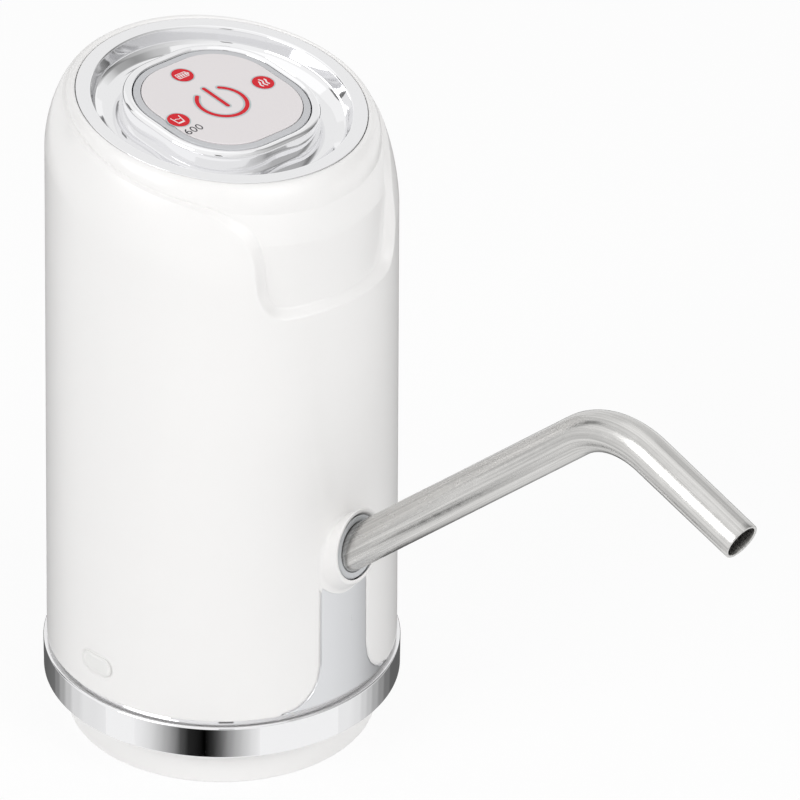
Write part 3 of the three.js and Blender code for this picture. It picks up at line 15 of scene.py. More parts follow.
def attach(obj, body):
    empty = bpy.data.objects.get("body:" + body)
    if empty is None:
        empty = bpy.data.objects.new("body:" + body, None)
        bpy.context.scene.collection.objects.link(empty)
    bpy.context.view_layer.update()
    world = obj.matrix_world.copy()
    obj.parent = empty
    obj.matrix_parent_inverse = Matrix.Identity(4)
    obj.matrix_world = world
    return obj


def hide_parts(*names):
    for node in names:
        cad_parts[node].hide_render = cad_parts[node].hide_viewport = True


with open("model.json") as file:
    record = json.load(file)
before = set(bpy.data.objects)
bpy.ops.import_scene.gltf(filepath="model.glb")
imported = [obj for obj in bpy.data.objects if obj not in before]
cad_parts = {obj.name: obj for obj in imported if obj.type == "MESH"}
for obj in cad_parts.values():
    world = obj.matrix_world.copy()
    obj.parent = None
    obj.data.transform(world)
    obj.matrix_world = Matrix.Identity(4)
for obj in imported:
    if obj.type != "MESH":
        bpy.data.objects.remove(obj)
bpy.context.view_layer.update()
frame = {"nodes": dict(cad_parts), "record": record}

MM = 0.001
# The body's wall, which narrows on its way up; arcs round the body are measured at ARC_R
WALL_FOOT_R, WALL_TAPER = 37.22, 0.0131
FOOT_R, FOOT_ROUND = 35.4, 0.5
ARC_R = 35
# The slanted plane of the lip, and the shoulder that rolls from the crest round it to the wall
SLOPE = math.radians(9.2)
LIP_Z = 125.2
CREST_R, CREST_RISE = 29.96, 0.2
SHOULDER_DROP, SHOULDER_LEAN, SHOULDER_POWER = 16.4, 3.9, 1.54
# The casing's edge: its drop below the crest, and its step down to the cap
EDGE_DROP, EDGE_LEAN, EDGE_STEP = 3.1, 2.2, 0.8
CAP_SKIRT_R = 33.98
# The cut-out over the spout: its right half as (degrees, height), and the degrees where it ends
CUT_RIGHT = [
    (0, 93.1), (8, 93.1), (16, 93.1), (22, 93.15), (25, 93.4), (27.6, 94.2), (29.6, 95.5),
    (31.2, 97.2), (32.3, 99.3), (32.9, 101.6), (33.1, 104.3), (33.5, 106.4), (34.4, 108.6),
    (36.2, 110.8), (38.4, 112.4), (41.5, 114), (45, 115.4), (49, 116.5), (53, 117.3),
]
CUT_END = 66
# The trim strip: its top edge dips in the middle, and its sides are (height, half its degrees)
TRIM_CORNER_Z, TRIM_TOP, TRIM_FOOT = 29.2, 26, 0.3
TRIM_EDGE = [
    (TRIM_CORNER_Z, 10.2), (9.8, 10.4), (6.4, 11.5), (4, 13.4), (2.5, 15.7), (1.1, 19),
    (TRIM_FOOT, 24),
]
PORT_ANGLE, PORT_Z, PORT_W, PORT_H = math.radians(-88.3), 7.4, 8.3, 4.4
# The spout: where its axis leaves the wall, where its two straight runs would meet, and its mouth
SPOUT_ROOT = np.array([0, -36.764, 34.84])
SPOUT_CORNER = np.array([0, -107.624, 96.78])
SPOUT_MOUTH = np.array([0, -141.304, 84.21])
SPOUT_ROOT_R, SPOUT_MOUTH_R, SPOUT_WALL, SPOUT_BEND_R, SPOUT_INSIDE = 4.4, 3.96, 0.6, 18.7, 8
COLLAR_R, COLLAR_BORE_R, COLLAR_FACE_Y, COLLAR_RIM = 6.65, 5.85, -40.52, 0.42
SEAL_FACE_Y = -40.1
# Half the side of the small square that the rounded squares round the button grow from
CORE = 3.4
RING_R, RING_FOOT_Z, NECK_FOOT_Z = 37.98, -8.37, -18

# Materials
NOISE_BROAD, GRAIN_DEPTH, COAT_ROUGH = 35.0, 2e-5, 0.08
LOOKS = {}


def principled(name):
    """A new look, kept in LOOKS under its name: its node tree and its shader."""
    mat = bpy.data.materials.new(name)
    mat.use_nodes = True
    LOOKS[name] = mat
    tree = mat.node_tree
    return tree, tree.nodes["Principled BSDF"]


def noise_of(tree, place, scale, detail, stretch=None):
    """A noise texture at a place, stretched per axis."""
    if stretch:
        mapping = tree.nodes.new("ShaderNodeMapping")
        mapping.inputs["Scale"].default_value = stretch
        tree.links.new(place, mapping.inputs["Vector"])
        place = mapping.outputs["Vector"]
    noise = tree.nodes.new("ShaderNodeTexNoise")
    noise.inputs["Scale"].default_value = scale
    noise.inputs["Detail"].default_value = detail
    tree.links.new(place, noise.inputs["Vector"])
    return noise.outputs["Fac"]


def ramp(tree, value, low, high):
    """Maps 0..1 onto low..high."""
    node = tree.nodes.new("ShaderNodeMapRange")
    node.inputs["To Min"].default_value = low
    node.inputs["To Max"].default_value = high
    tree.links.new(value, node.inputs["Value"])
    return node.outputs["Result"]


def tint(tree, value, dark, light):
    """A colour between two, by a value."""
    node = tree.nodes.new("ShaderNodeMix")
    node.data_type = "RGBA"
    node.inputs["A"].default_value = (*dark, 1)
    node.inputs["B"].default_value = (*light, 1)
    tree.links.new(value, node.inputs["Factor"])
    return node.outputs["Result"]


def bump(tree, shader, value, strength, distance):
    node = tree.nodes.new("ShaderNodeBump")
    node.inputs["Strength"].default_value = strength
    node.inputs["Distance"].default_value = distance
    tree.links.new(value, node.inputs["Height"])
    tree.links.new(node.outputs["Normal"], shader.inputs["Normal"])


def linear(code):
    """Linear colour of a #RRGGBB code."""
    parts = [int(code[i : i + 2], 16) / 255 for i in (1, 3, 5)]
    return tuple(c / 12.92 if c <= 0.04045 else ((c + 0.055) / 1.055) ** 2.4 for c in parts)


def shade(colour, share):
    return tuple(c * share for c in colour)


def plain(name, code, rough, metal=0.0, spread=0.04, grain=900.0, strength=0.1, coat=0.0,
          stretch=None, vary=0.03, specular=None):
    """Moulded plastic, rubber or metal: a slightly uneven colour and gloss, and a fine grain."""
    tree, shader = principled(name)
    colour = linear(code)
    place = tree.nodes.new("ShaderNodeTexCoord").outputs["Object"]
    broad = noise_of(tree, place, NOISE_BROAD, 2.0)
    fine = noise_of(tree, place, grain, 3.0, stretch)
    tree.links.new(tint(tree, broad, shade(colour, 1 - vary), colour), shader.inputs["Base Color"])
    tree.links.new(ramp(tree, fine, rough - spread, rough + spread), shader.inputs["Roughness"])
    shader.inputs["Metallic"].default_value = metal
    if coat:
        shader.inputs["Coat Weight"].default_value = coat
        shader.inputs["Coat Roughness"].default_value = COAT_ROUGH
    if specular is not None:
        shader.inputs["Specular IOR Level"].default_value = specular
    bump(tree, shader, fine, strength, GRAIN_DEPTH)


def ink(name, code, rough=0.35):
    """Print, which mirrors little."""
    plain(name, code, rough, spread=0.02, strength=0.02, specular=0.12)


plain("white_plastic", "#F4F3F2", 0.34, spread=0.03, grain=700, strength=0.06,
      vary=0.012, coat=0.25)
plain("polished_chrome", "#F2F2F3", 0.05, 1.0, spread=0.015, grain=400, strength=0.03,
      vary=0.02)
plain("satin_metal", "#E0E1E3", 0.3, 1.0, spread=0.05, grain=1500, strength=0.08,
      stretch=(1, 1, 0.04), vary=0.04)
plain("lens_border", "#C8C9CC", 0.3, spread=0.03, grain=800, strength=0.03, coat=0.4)
plain("lens", "#EAE5E6", 0.22, spread=0.02, grain=500, strength=0.02, vary=0.02, coat=0.5)
ink("print_red", "#DC1E2C")
ink("print_halo", "#BCC9CB")
ink("print_white", "#F6EFEF")
ink("print_dark", "#3A3A3E", 0.4)
plain("silicone", "#CACCCE", 0.6, spread=0.06, grain=1200, strength=0.2)
plain("port_cover", "#EEEEEC", 0.5, spread=0.05, grain=1300, strength=0.15, vary=0.02)
plain("grey_plastic", "#85888C", 0.5, spread=0.06, grain=1300, strength=0.25)
plain("pale_plastic", "#DCDCDA", 0.45, spread=0.05, grain=1200, strength=0.2)
plain("black_plastic", "#26272A", 0.45, spread=0.06, grain=1300, strength=0.3)
plain("lamp", "#E0353F", 0.25, spread=0.02, grain=800, strength=0.05, coat=0.5)
plain("hose", "#D5DADC", 0.4, spread=0.05, strength=0.15)
plain("nickel", "#BFC0B8", 0.25, 1.0, spread=0.06, grain=1500, strength=0.12)
plain("magnet", "#3B3C3F", 0.65, 0.3, spread=0.08, grain=1800, strength=0.5)
plain("battery_sleeve", "#2F6FAE", 0.35, grain=500, strength=0.2)
plain("circuit_board", "#1F6B3F", 0.4, grain=1500, strength=0.2)


def steel():
    """Drawn and brushed tube: streaks along it, with a mottle between them."""
    tree, shader = principled("brushed_steel")
    attribute = tree.nodes.new("ShaderNodeAttribute")
    attribute.attribute_name = "tube_place"
    place = attribute.outputs["Vector"]
    streak = noise_of(tree, place, 1.0, 5.0, (22, 1900, 1900))
    mottle = noise_of(tree, place, 1.0, 4.0, (420, 1100, 1100))
    colour = linear("#DAD9D7")
    streaked = tint(tree, ramp(tree, streak, -0.9, 1.9), shade(colour, 0.72), shade(colour, 1.12))
    both = tree.nodes.new("ShaderNodeMix")
    both.data_type, both.blend_type = "RGBA", "MULTIPLY"
    both.inputs["Factor"].default_value = 1.0
    tree.links.new(streaked, both.inputs["A"])
    tree.links.new(tint(tree, mottle, (0.86, 0.86, 0.86), (1, 1, 1)), both.inputs["B"])
    tree.links.new(both.outputs["Result"], shader.inputs["Base Color"])
    tree.links.new(ramp(tree, mottle, 0.14, 0.36), shader.inputs["Roughness"])
    shader.inputs["Metallic"].default_value = 1.0
    bump(tree, shader, streak, 0.25, 5e-5)


steel()

for part in frame["record"]["subparts"]:
    node = frame["nodes"][part["node"]]
    node.data.materials.clear()
    node.data.materials.append(LOOKS[part["material_slot"]])


# Mesh helpers
def piece(name, points, faces, body, slot, replaced=(), look=None, weighted=True):
    """A smooth mesh from points in millimetres, with its slot's look unless one is named."""
    mesh = bpy.data.meshes.new(name)
    mesh.from_pydata((np.asarray(points) * MM).tolist(), [], faces)
    mesh.validate()
    mesh.update()
    mesh.polygons.foreach_set("use_smooth", [True] * len(mesh.polygons))
    mesh.materials.append(LOOKS[look or slot])
    obj = bpy.data.objects.new(name, mesh)
    bpy.context.scene.collection.objects.link(obj)
    if weighted:
        even = obj.modifiers.new("even_normals", "WEIGHTED_NORMAL")
        even.weight = 90
    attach(obj, body)
    if replaced:
        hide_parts(*replaced)
    return obj


def grid_faces(rows, columns, close_rows, close_columns, flip=False):
    """Four-sided faces between rows of points."""
    faces = []
    for i in range(rows if close_rows else rows - 1):
        for j in range(columns if close_columns else columns - 1):
            row, next_row = i * columns, (i + 1) % rows * columns
            next_j = (j + 1) % columns
            a, b, c, d = row + j, row + next_j, next_row + next_j, next_row + j
            faces.append((a, d, c, b) if flip else (a, b, c, d))
    return faces


def unit(vector):
    return vector / np.linalg.norm(vector)


SPOUT_WAY = unit(SPOUT_CORNER - SPOUT_ROOT)


def rounded(corners, steps=6):
    """A closed profile with its corners rounded: each corner is (r, z, radius)."""
    out = []
    for i, (x, y, radius) in enumerate(corners):
        here = np.array([x, y], float)
        if radius <= 0:
            out.append(tuple(here))
            continue
        before = np.array(corners[i - 1][:2], float) - here
        after = np.array(corners[(i + 1) % len(corners)][:2], float) - here
        half = math.acos(max(-1, min(1, float(unit(before) @ unit(after))))) / 2
        shorter = min(np.linalg.norm(before), np.linalg.norm(after))
        reach = min(radius / math.tan(half), shorter * 0.49)
        radius = reach * math.tan(half)
        centre = here + unit(unit(before) + unit(after)) * radius / math.sin(half)
        first, last = here + unit(before) * reach - centre, here + unit(after) * reach - centre
        start = math.atan2(first[1], first[0])
        turn = (math.atan2(last[1], last[0]) - start + math.pi) % (2 * math.pi) - math.pi
        for k in range(steps + 1):
            angle = start + turn * k / steps
            out.append(tuple(centre + radius * np.array([math.cos(angle), math.sin(angle)])))
    return out


def lathe(profile, steps):
    """Rings round the upright axis, facing out for a profile that runs up its outer side."""
    angles = np.arange(steps) * 2 * math.pi / steps
    rows = [[(r * math.sin(a), -r * math.cos(a), z) for a in angles] for r, z in profile]
    return np.array(rows).reshape(-1, 3), grid_faces(len(profile), steps, True, True)


def tilt(points):
    """From the plane of the lip to the row frame."""
    points = np.asarray(points, float).reshape(-1, 3)
    c, s = math.cos(SLOPE), math.sin(SLOPE)
    y, z = points[:, 1], points[:, 2]
    return np.stack([points[:, 0], y * c - z * s, y * s + z * c + LIP_Z], axis=1)


SQUARE_CORNERS = ((1, 1), (-1, 1), (-1, -1), (1, -1))


def square_ring(half, corner_steps=20, side_steps=4):
    """A rounded square, an even offset of a small square, anticlockwise."""
    radius = half - CORE
    out = []
    for quarter, (sx, sy) in enumerate(SQUARE_CORNERS):
        for k in range(corner_steps + 1):
            turn = math.pi / 2 * (quarter + k / corner_steps)
            out.append((sx * CORE + radius * math.cos(turn), sy * CORE + radius * math.sin(turn)))
        x, y = out[-1]
        next_sx, next_sy = SQUARE_CORNERS[(quarter + 1) % 4]
        for k in range(1, side_steps):
            step = CORE * k / side_steps
            out.append((x + (next_sx - sx) * step, y + (next_sy - sy) * step))
    return out


def square_sweep(profile, closed=True):
    """Rounded squares stacked by a profile of (half-width, height)."""
    rows = np.array([[(x, y, z) for x, y in square_ring(half)] for half, z in profile])
    return rows.reshape(-1, 3), grid_faces(len(rows), rows.shape[1], closed, True)


def line_distance(px, py, line, close=False):
    """Distance from points to a line of points."""
    line = np.asarray(line)
    if close:
        line = np.vstack([line, line[:1]])
    best = np.full(px.shape, 1e9)
    for (x0, y0), (x1, y1) in zip(line, line[1:]):
        dx, dy = x1 - x0, y1 - y0
        share = np.clip(((px - x0) * dx + (py - y0) * dy) / (dx * dx + dy * dy + 1e-12), 0, 1)
        best = np.minimum(best, np.hypot(px - x0 - share * dx, py - y0 - share * dy))
    return best


def inside_outline(px, py, outline):
    """Whether points are inside a closed outline."""
    result = np.zeros(px.shape, bool)
    x0, y0 = outline[-1]
    for x1, y1 in outline:
        crosses = (y0 > py) != (y1 > py)
        at = (x1 - x0) * (py - y0) / (y1 - y0 + 1e-15) + x0
        result ^= crosses & (px < at)
        x0, y0 = x1, y1
    return result


def smooth_line(points, rounds=2):
    """Corner cutting that keeps the ends."""
    for _ in range(rounds):
        out = [points[0]]
        for (x0, y0), (x1, y1) in zip(points, points[1:]):
            out += [((1 - s) * x0 + s * x1, (1 - s) * y0 + s * y1) for s in (0.25, 0.75)]
        points = out + [points[-1]]
    return points


def soft(value):
    """A smooth step from 0 to 1."""
    value = np.clip(value, 0, 1)
    return value * value * (3 - 2 * value)


def uneven(stops):
    """Values along stops of (start, pitch), the last one the end."""
    out = []
    for (start, pitch), (end, _) in zip(stops, stops[1:]):
        count = max(1, round((end - start) / pitch))
        out += [start + (end - start) * k / count for k in range(count)]
    return out + [stops[-1][0]]


# White shell: one surface, parted into casing and cap
def wall_r(z):
    return WALL_FOOT_R - WALL_TAPER * z


def whole_drop(angle):
    """How far the shoulder's foot is below the crest."""
    return SHOULDER_DROP + SHOULDER_LEAN * np.cos(angle)


def slant_z(radius, angle, drop):
    """Height of a point that is some way below the lip's plane."""
    return LIP_Z - radius * np.cos(angle) * math.tan(SLOPE) - drop


def shoulder(angle, drop):
    """Radius and height of the shoulder at an angle and a drop below the crest."""
    whole = whole_drop(angle)
    share = np.clip(drop / whole, 0, 1)
    wall = wall_r(slant_z(wall_r(LIP_Z), angle, whole - CREST_RISE))
    swell = (1 - (1 - share) ** SHOULDER_POWER) ** (1 / SHOULDER_POWER)
    radius = CREST_R + (wall - CREST_R) * swell
    return radius, slant_z(radius, angle, drop - CREST_RISE)


def edge_drop(angle):
    """How far the casing's edge is below the crest."""
    return EDGE_DROP + EDGE_LEAN * np.cos(angle) + CREST_RISE


def cut_outline():
    """Edge of the casing round the cut-out over the spout: (arc, height), from left to right."""
    right = [(math.radians(degrees) * ARC_R, z) for degrees, z in CUT_RIGHT]
    for degrees in range(57, 76, 2):
        angle = math.radians(degrees)
        _, z = shoulder(np.array(angle), edge_drop(angle))
        right.append((angle * ARC_R, float(z)))
    left = [(-x, z) for x, z in right[1:]][::-1]
    return smooth_line(left + right)


def trim_half(z):
    """Half-width of the trim strip at a height, as arc length on the wall."""
    heights, degrees = zip(*TRIM_EDGE[::-1])
    return math.radians(float(np.interp(z, heights, degrees))) * wall_r(z)


def trim_outline(grow):
    """The trim strip on the wall, as (arc, height) with its edge moved out."""
    right = [(trim_half(z) + grow, z) for z in np.linspace(TRIM_CORNER_Z + grow, -2, 70)]
    corner = right[0][0]
    top = [(x, TRIM_TOP + grow + (TRIM_CORNER_Z - TRIM_TOP) * (x / corner) ** 2)
           for x in np.linspace(-corner, corner, 24)]
    return top + right[1:] + [(-x, z) for x, z in right[:0:-1]]


def oblong(grow, steps=14):
    """The port cover's outline, as (aside, up) from its middle with its edge moved out."""
    half, reach = PORT_H / 2 + grow, (PORT_W - PORT_H) / 2
    out = []
    for side in (1, -1):
        for k in range(steps + 1):
            turn = math.pi * (k / steps - 0.5)
            out.append((side * (reach + half * math.cos(turn)), side * half * math.sin(turn)))
    return out


# Pitch of the shell's columns in degrees from the spout's side, and of its rows up the wall
COLUMN_STOPS = [
    (0, 0.9), (8.6, 0.3), (12.5, 0.5), (28, 0.35), (36, 0.3), (62, 0.9), (79, 0.3), (98, 1.5),
    (180, 1),
]
WALL_TOP = 90
WALL_STOPS = [(FOOT_ROUND, 0.35), (13, 0.6), (24.6, 0.3), (31.6, 1.5), (WALL_TOP, 1)]
ON_WALL = 99  # the drop given to points below the shoulder
# The rim's inner side, down to the dish: (radius, height) from the lip's plane
RIM_INNER = ((29.86, 0.17), (29.76, 0.1), (29.66, -0.02), (29.6, -0.2), (29.58, -1.6))
# At degrees from the spout's side: the width of the edge's slope onto the cap, and its seam's depth
SLOPE_WIDTH = ([0, 20, 33, 36, 42, 52, 62, 180], [1.5, 1.7, 2.6, 2.2, 1.3, 0.6, 0.3, 0.3])
SEAM_DEPTH = ([0, 20, 36, 44, 180], [0, 0.05, 0.1, 0.22, 0.22])
SEAM_HALF = 0.34
# The grooves round the trim strip and the port cover: how far out they run and half their width
GROOVE_DEPTH = 0.5
TRIM_GAP, TRIM_GROOVE = 0.05, 0.42
PORT_GAP, PORT_GROOVE = 0.12, 0.4
# The openings that other pieces cover: under the collar, the trim strip and the port cover
COLLAR_OPENING_R, TRIM_OPENING, PORT_OPENING = 6.15, -1.2, -0.8


def shell_grid():
    """Angle, radius, height and drop below the crest of each point, before any edge or groove."""
    half = uneven(COLUMN_STOPS)
    angle = np.radians([-a for a in half[-2:0:-1]] + half)
    rows = [(FOOT_R, 0, ON_WALL)]
    for k in range(5):
        inward = FOOT_ROUND * (1 - math.sin(math.pi / 2 * k / 4))
        rise = FOOT_ROUND * (1 - math.cos(math.pi / 2 * k / 4))
        rows.append((WALL_FOOT_R - inward, rise, ON_WALL))
    rows += [(wall_r(z), z, ON_WALL) for z in uneven(WALL_STOPS)[1:]]
    whole, edge = whole_drop(angle), edge_drop(angle)
    _, foot = shoulder(angle, whole)
    for k in range(1, 47):
        z = WALL_TOP + (foot - WALL_TOP) * k / 46
        rows.append((wall_r(z), z, ON_WALL))
    drops = [whole + (edge + 0.6 - whole) * k / 44 for k in range(1, 45)]
    drops += [edge + k for k in (0.45, 0.32, 0.22, 0.14, 0.07, 0.0, -0.08, -0.2)]
    drops += [(edge - 0.2) * (1 - k / 26) ** 1.6 for k in range(1, 27)]
    rows += [(*shoulder(angle, drop), drop) for drop in drops]
    grid = [[np.broadcast_to(value, angle.shape) for value in (angle, *row)] for row in rows]
    return np.array(grid).transpose(1, 0, 2)


def past_edge(angle, z, drop):
    """Distance of each point from the casing's edge: above 0 on the casing, below on the cap."""
    arc = angle * ARC_R
    line = cut_outline()
    region = line + [(line[-1][0], 160), (line[0][0], 160)]
    distance = np.full(z.shape, 5.0)
    near = (z > 87) & (np.abs(arc) < math.radians(76) * ARC_R)
    distance[near] = line_distance(arc[near], z[near], line)
    signed = np.where(inside_outline(arc, z, region), -distance, distance)
    return np.where(np.abs(angle) > math.radians(CUT_END), drop - edge_drop(angle), signed)


def grooves(angle, z):
    """Depth of the grooves round the trim strip and the port cover."""
    groove = np.zeros_like(z)
    low = (z < 33) & (np.abs(angle * ARC_R) < 20)
    distance = line_distance(angle[low] * wall_r(z[low]), z[low], trim_outline(TRIM_GAP), True)
    groove[low] = GROOVE_DEPTH * soft(1 - distance / TRIM_GROOVE)
    near = (z < 13) & (np.abs(angle - PORT_ANGLE) < 0.2)
    arc = (angle[near] - PORT_ANGLE) * wall_r(PORT_Z)
    distance = line_distance(arc, z[near] - PORT_Z, oblong(PORT_GAP), True)
    groove[near] = GROOVE_DEPTH * soft(1 - distance / PORT_GROOVE)
    return groove


def uncovered(middle):
    """Whether faces stay: none under the spout's collar, the trim strip or the port cover."""
    off = middle - SPOUT_ROOT
    aside = np.linalg.norm(off - (off @ SPOUT_WAY)[:, None] * SPOUT_WAY, axis=1)
    under_collar = (aside < COLLAR_OPENING_R) & (middle[:, 1] < -30)
    angle, z = np.arctan2(middle[:, 0], -middle[:, 1]), middle[:, 2]
    under_trim = inside_outline(angle * wall_r(z), z, trim_outline(TRIM_OPENING))
    under_trim &= (z < 32) & (z > 0.6)
    port_arc = (angle - PORT_ANGLE) * wall_r(PORT_Z)
    under_port = inside_outline(port_arc, z - PORT_Z, oblong(PORT_OPENING)) & (z < 13)
    return ~(under_collar | under_trim | under_port)


def build_shell():
    """The shell's points and faces, whether each face stays, and whether it is the cap's."""
    angle, radius, z, drop = shell_grid()
    signed = past_edge(angle, z, drop)
    front = np.degrees(np.abs(angle))
    width = np.interp(front, *SLOPE_WIDTH)
    depth = np.clip(-signed / width, 0, 1)
    share = np.clip(drop / edge_drop(angle), 0, 1)
    cap = np.minimum(radius - EDGE_STEP * share * share, CAP_SKIRT_R)
    radius = radius + (cap - radius) * soft(depth ** 0.8)
    # a fine seam where the casing's edge stands on the cap
    seam = np.interp(front, *SEAM_DEPTH) * soft(1 - np.abs(signed + width) / SEAM_HALF)
    radius = radius - seam - grooves(angle, z)
    points = np.stack([radius * np.sin(angle), -radius * np.cos(angle), z], axis=2)
    rim = [tilt([(r * math.sin(a), -r * math.cos(a), h) for a in angle[0]]) for r, h in RIM_INNER]
    points = np.concatenate([points, np.array(rim)])
    depth = np.concatenate([depth, np.ones((len(rim), depth.shape[1]))]).reshape(-1)
    faces = np.array(grid_faces(*points.shape[:2], False, True))
    points = points.reshape(-1, 3)
    return points, faces, uncovered(points[faces].mean(axis=1)), depth[faces].min(axis=1) > 0.985


def compact(points, faces):
    """Some faces with only the points that they use."""
    used, index = np.unique(faces.reshape(-1), return_inverse=True)
    return points[used], index.reshape(faces.shape).tolist()


shell_points, shell_faces, shell_keep, shell_cap = build_shell()
casing = compact(shell_points, shell_faces[shell_keep & ~shell_cap])
piece("casing_shell", *casing, "housing", "white_plastic", ["outer_casing"], weighted=False)
cap = compact(shell_points, shell_faces[shell_keep & shell_cap])
piece("cap_shell", *cap, "housing", "white_plastic", ["top_cap"], weighted=False)


# Collar of the spout
def to_face(side, radius):
    """How far along the spout's axis the collar's upright face is."""
    return (COLLAR_FACE_Y - (SPOUT_ROOT + side * radius)[1]) / SPOUT_WAY[1]


def to_wall(side, radius, rise=0.0):
    """How far along the spout's axis the wall is, or a face that stands above it."""
    low, high = -25.0, 15.0
    for _ in range(40):
        middle = (low + high) / 2
        x, y, z = SPOUT_ROOT + side * radius + SPOUT_WAY * middle
        if math.hypot(x, y) < wall_r(z) + rise:
            low = middle
        else:
            high = middle
    return low


def collar_profile(side):
    """(radius, distance along the axis) at one side: bore, rounded rim, outside and fillet."""
    profile = [(COLLAR_BORE_R, to_wall(side, COLLAR_BORE_R) - 4),
               (COLLAR_BORE_R, to_face(side, COLLAR_BORE_R) - 1.2)]
    middle, half = (COLLAR_R + COLLAR_BORE_R) / 2, (COLLAR_R - COLLAR_BORE_R) / 2
    for k in range(9):
        radius = middle - half * math.cos(math.pi * k / 8)
        dip = COLLAR_RIM - COLLAR_RIM * math.sin(math.pi * k / 8)
        profile.append((radius, to_face(side, radius) - dip))
    top = to_face(side, COLLAR_R) - COLLAR_RIM
    foot = to_wall(side, COLLAR_R)
    fillet = min(1.3, max(0.25, (top - foot) * 0.6))
    profile += [(COLLAR_R, top + (foot + fillet - top) * share) for share in (0.35, 0.7)]
    for k in range(9):
        a = math.pi / 2 * k / 8
        radius = COLLAR_R + fillet * (1 - math.cos(a))
        profile.append((radius, to_wall(side, radius, 0.012) + fillet * (1 - math.sin(a)) * 0.9))
    radius = COLLAR_R + fillet + 0.25
    return profile + [(radius, to_wall(side, radius, -0.05))]


def collar(steps=96):
    across = np.array([1.0, 0, 0])
    up = np.cross(SPOUT_WAY, across)
    columns = []
    for k in range(steps):
        turn = 2 * math.pi * k / steps
        side = across * math.cos(turn) + up * math.sin(turn)
        columns.append([SPOUT_ROOT + side * r + SPOUT_WAY * s for r, s in collar_profile(side)])
    points = np.array(columns).transpose(1, 0, 2)
    return points.reshape(-1, 3), grid_faces(len(points), steps, False, True, flip=True)


piece("spout_collar", *collar(), "housing", "white_plastic")


# Spout and its seal
def spout_path():
    """Places and ways along the tube's middle: straight, round its bend, straight again."""
    down = unit(SPOUT_MOUTH - SPOUT_CORNER)
    turn = math.acos(float(SPOUT_WAY @ down))
    inward = unit(down - SPOUT_WAY * float(SPOUT_WAY @ down))
    start = SPOUT_CORNER - SPOUT_WAY * (SPOUT_BEND_R * math.tan(turn / 2))
    centre = start + inward * SPOUT_BEND_R
    begin = SPOUT_ROOT - SPOUT_WAY * SPOUT_INSIDE
    length = np.linalg.norm(start - begin)
    path = [(begin + SPOUT_WAY * length * k / 40, SPOUT_WAY) for k in range(40)]
    for k in range(41):
        a = turn * k / 40
        outward = SPOUT_WAY * math.sin(a) - inward * math.cos(a)
        way = SPOUT_WAY * math.cos(a) + inward * math.sin(a)
        path.append((centre + outward * SPOUT_BEND_R, way))
    end = path[-1][0]
    rest = np.linalg.norm(SPOUT_MOUTH - end)
    return path + [(end + down * rest * k / 16, down) for k in range(1, 17)]


# The mouth's rounded rim, as (inset, distance back from the end)
MOUTH_RIM = ((0, 0.16), (0.03, 0.06), (0.09, 0), (0.5, 0), (0.57, 0.05), (SPOUT_WALL, 0.15))


def spout(steps=64):
    """The tube, whose points keep their place along and across it for the brushing."""
    path = spout_path()
    lengths = [0.0]
    for (start, _), (end, _) in zip(path, path[1:]):
        lengths.append(lengths[-1] + float(np.linalg.norm(end - start)))
    last = len(path) - 1
    rings = [(i, 0, 0) for i in range(last)]
    rings += [(last, inset, back) for inset, back in MOUTH_RIM]
    rings += [(i, SPOUT_WALL, 0) for i in range(last - 1, -1, -1)]
    points, places = [], []
    for i, inset, back in rings:
        middle, way = path[i]
        taper = (SPOUT_MOUTH_R - SPOUT_ROOT_R) * lengths[i] / lengths[-1]
        radius = SPOUT_ROOT_R + taper - inset
        side = unit(np.cross(way, [1.0, 0, 0]))
        for k in range(steps):
            a = 2 * math.pi * k / steps
            out = np.array([math.cos(a), 0, 0]) + side * math.sin(a)
            points.append(middle - way * back + out * radius)
            places.append((lengths[i] - back, radius * math.cos(a), radius * math.sin(a)))
    faces = grid_faces(len(rings), steps, True, True, flip=True)
    obj = piece("spout_pipe", points, faces, "spout", "brushed_steel", ["spout_tube"],
                weighted=False)
    layer = obj.data.attributes.new("tube_place", "FLOAT_VECTOR", "POINT")
    layer.data.foreach_set("vector", (np.array(places) * MM).reshape(-1))


spout()


def seal(end=2.6):
    """The sleeve round the tube; its outer end stands upright, just inside the collar's mouth."""
    profile = [(4.6, -9, 0.1), (5.55, -9, 0.1), (5.55, end, 0.3), (4.45, end, 0.3)]
    points, faces = lathe(rounded(profile), 96)
    turn = Vector((0, 0, 1)).rotation_difference(Vector(SPOUT_WAY)).to_matrix()
    points = points @ np.array(turn).T + SPOUT_ROOT
    along = (points - SPOUT_ROOT) @ SPOUT_WAY
    shift = (SEAL_FACE_Y - points[:, 1]) / SPOUT_WAY[1] + (along - end)
    outer = along > 0
    points[outer] += np.outer(shift[outer], SPOUT_WAY)
    return points, faces


piece("spout_sleeve", *seal(), "housing", "silicone", ["spout_seal"])

# Trim strip
TRIM_MARGIN, TRIM_RISE, TRIM_ROUND = 0.12, 0.2, 0.4


def trim_point(u, v):
    """A point of the strip's face: u is -1 and 1 at its sides, v is 0 at its foot and 1 on top."""
    u = math.sin(u * math.pi / 2) * 0.35 + u * 0.65
    top = TRIM_TOP - TRIM_MARGIN + (TRIM_CORNER_Z - TRIM_TOP) * u * u
    z = TRIM_FOOT + v * (top - TRIM_FOOT)
    half = trim_half(z) - TRIM_MARGIN
    x = u * half
    edge = min(half - abs(x), top - z, max(z - TRIM_FOOT, 0) + 0.05)
    radius = wall_r(z) + TRIM_RISE - 0.35 * (1 - min(1, edge / TRIM_ROUND)) ** 2
    angle = x / wall_r(z)
    return radius * math.sin(angle), -radius * math.cos(angle), z


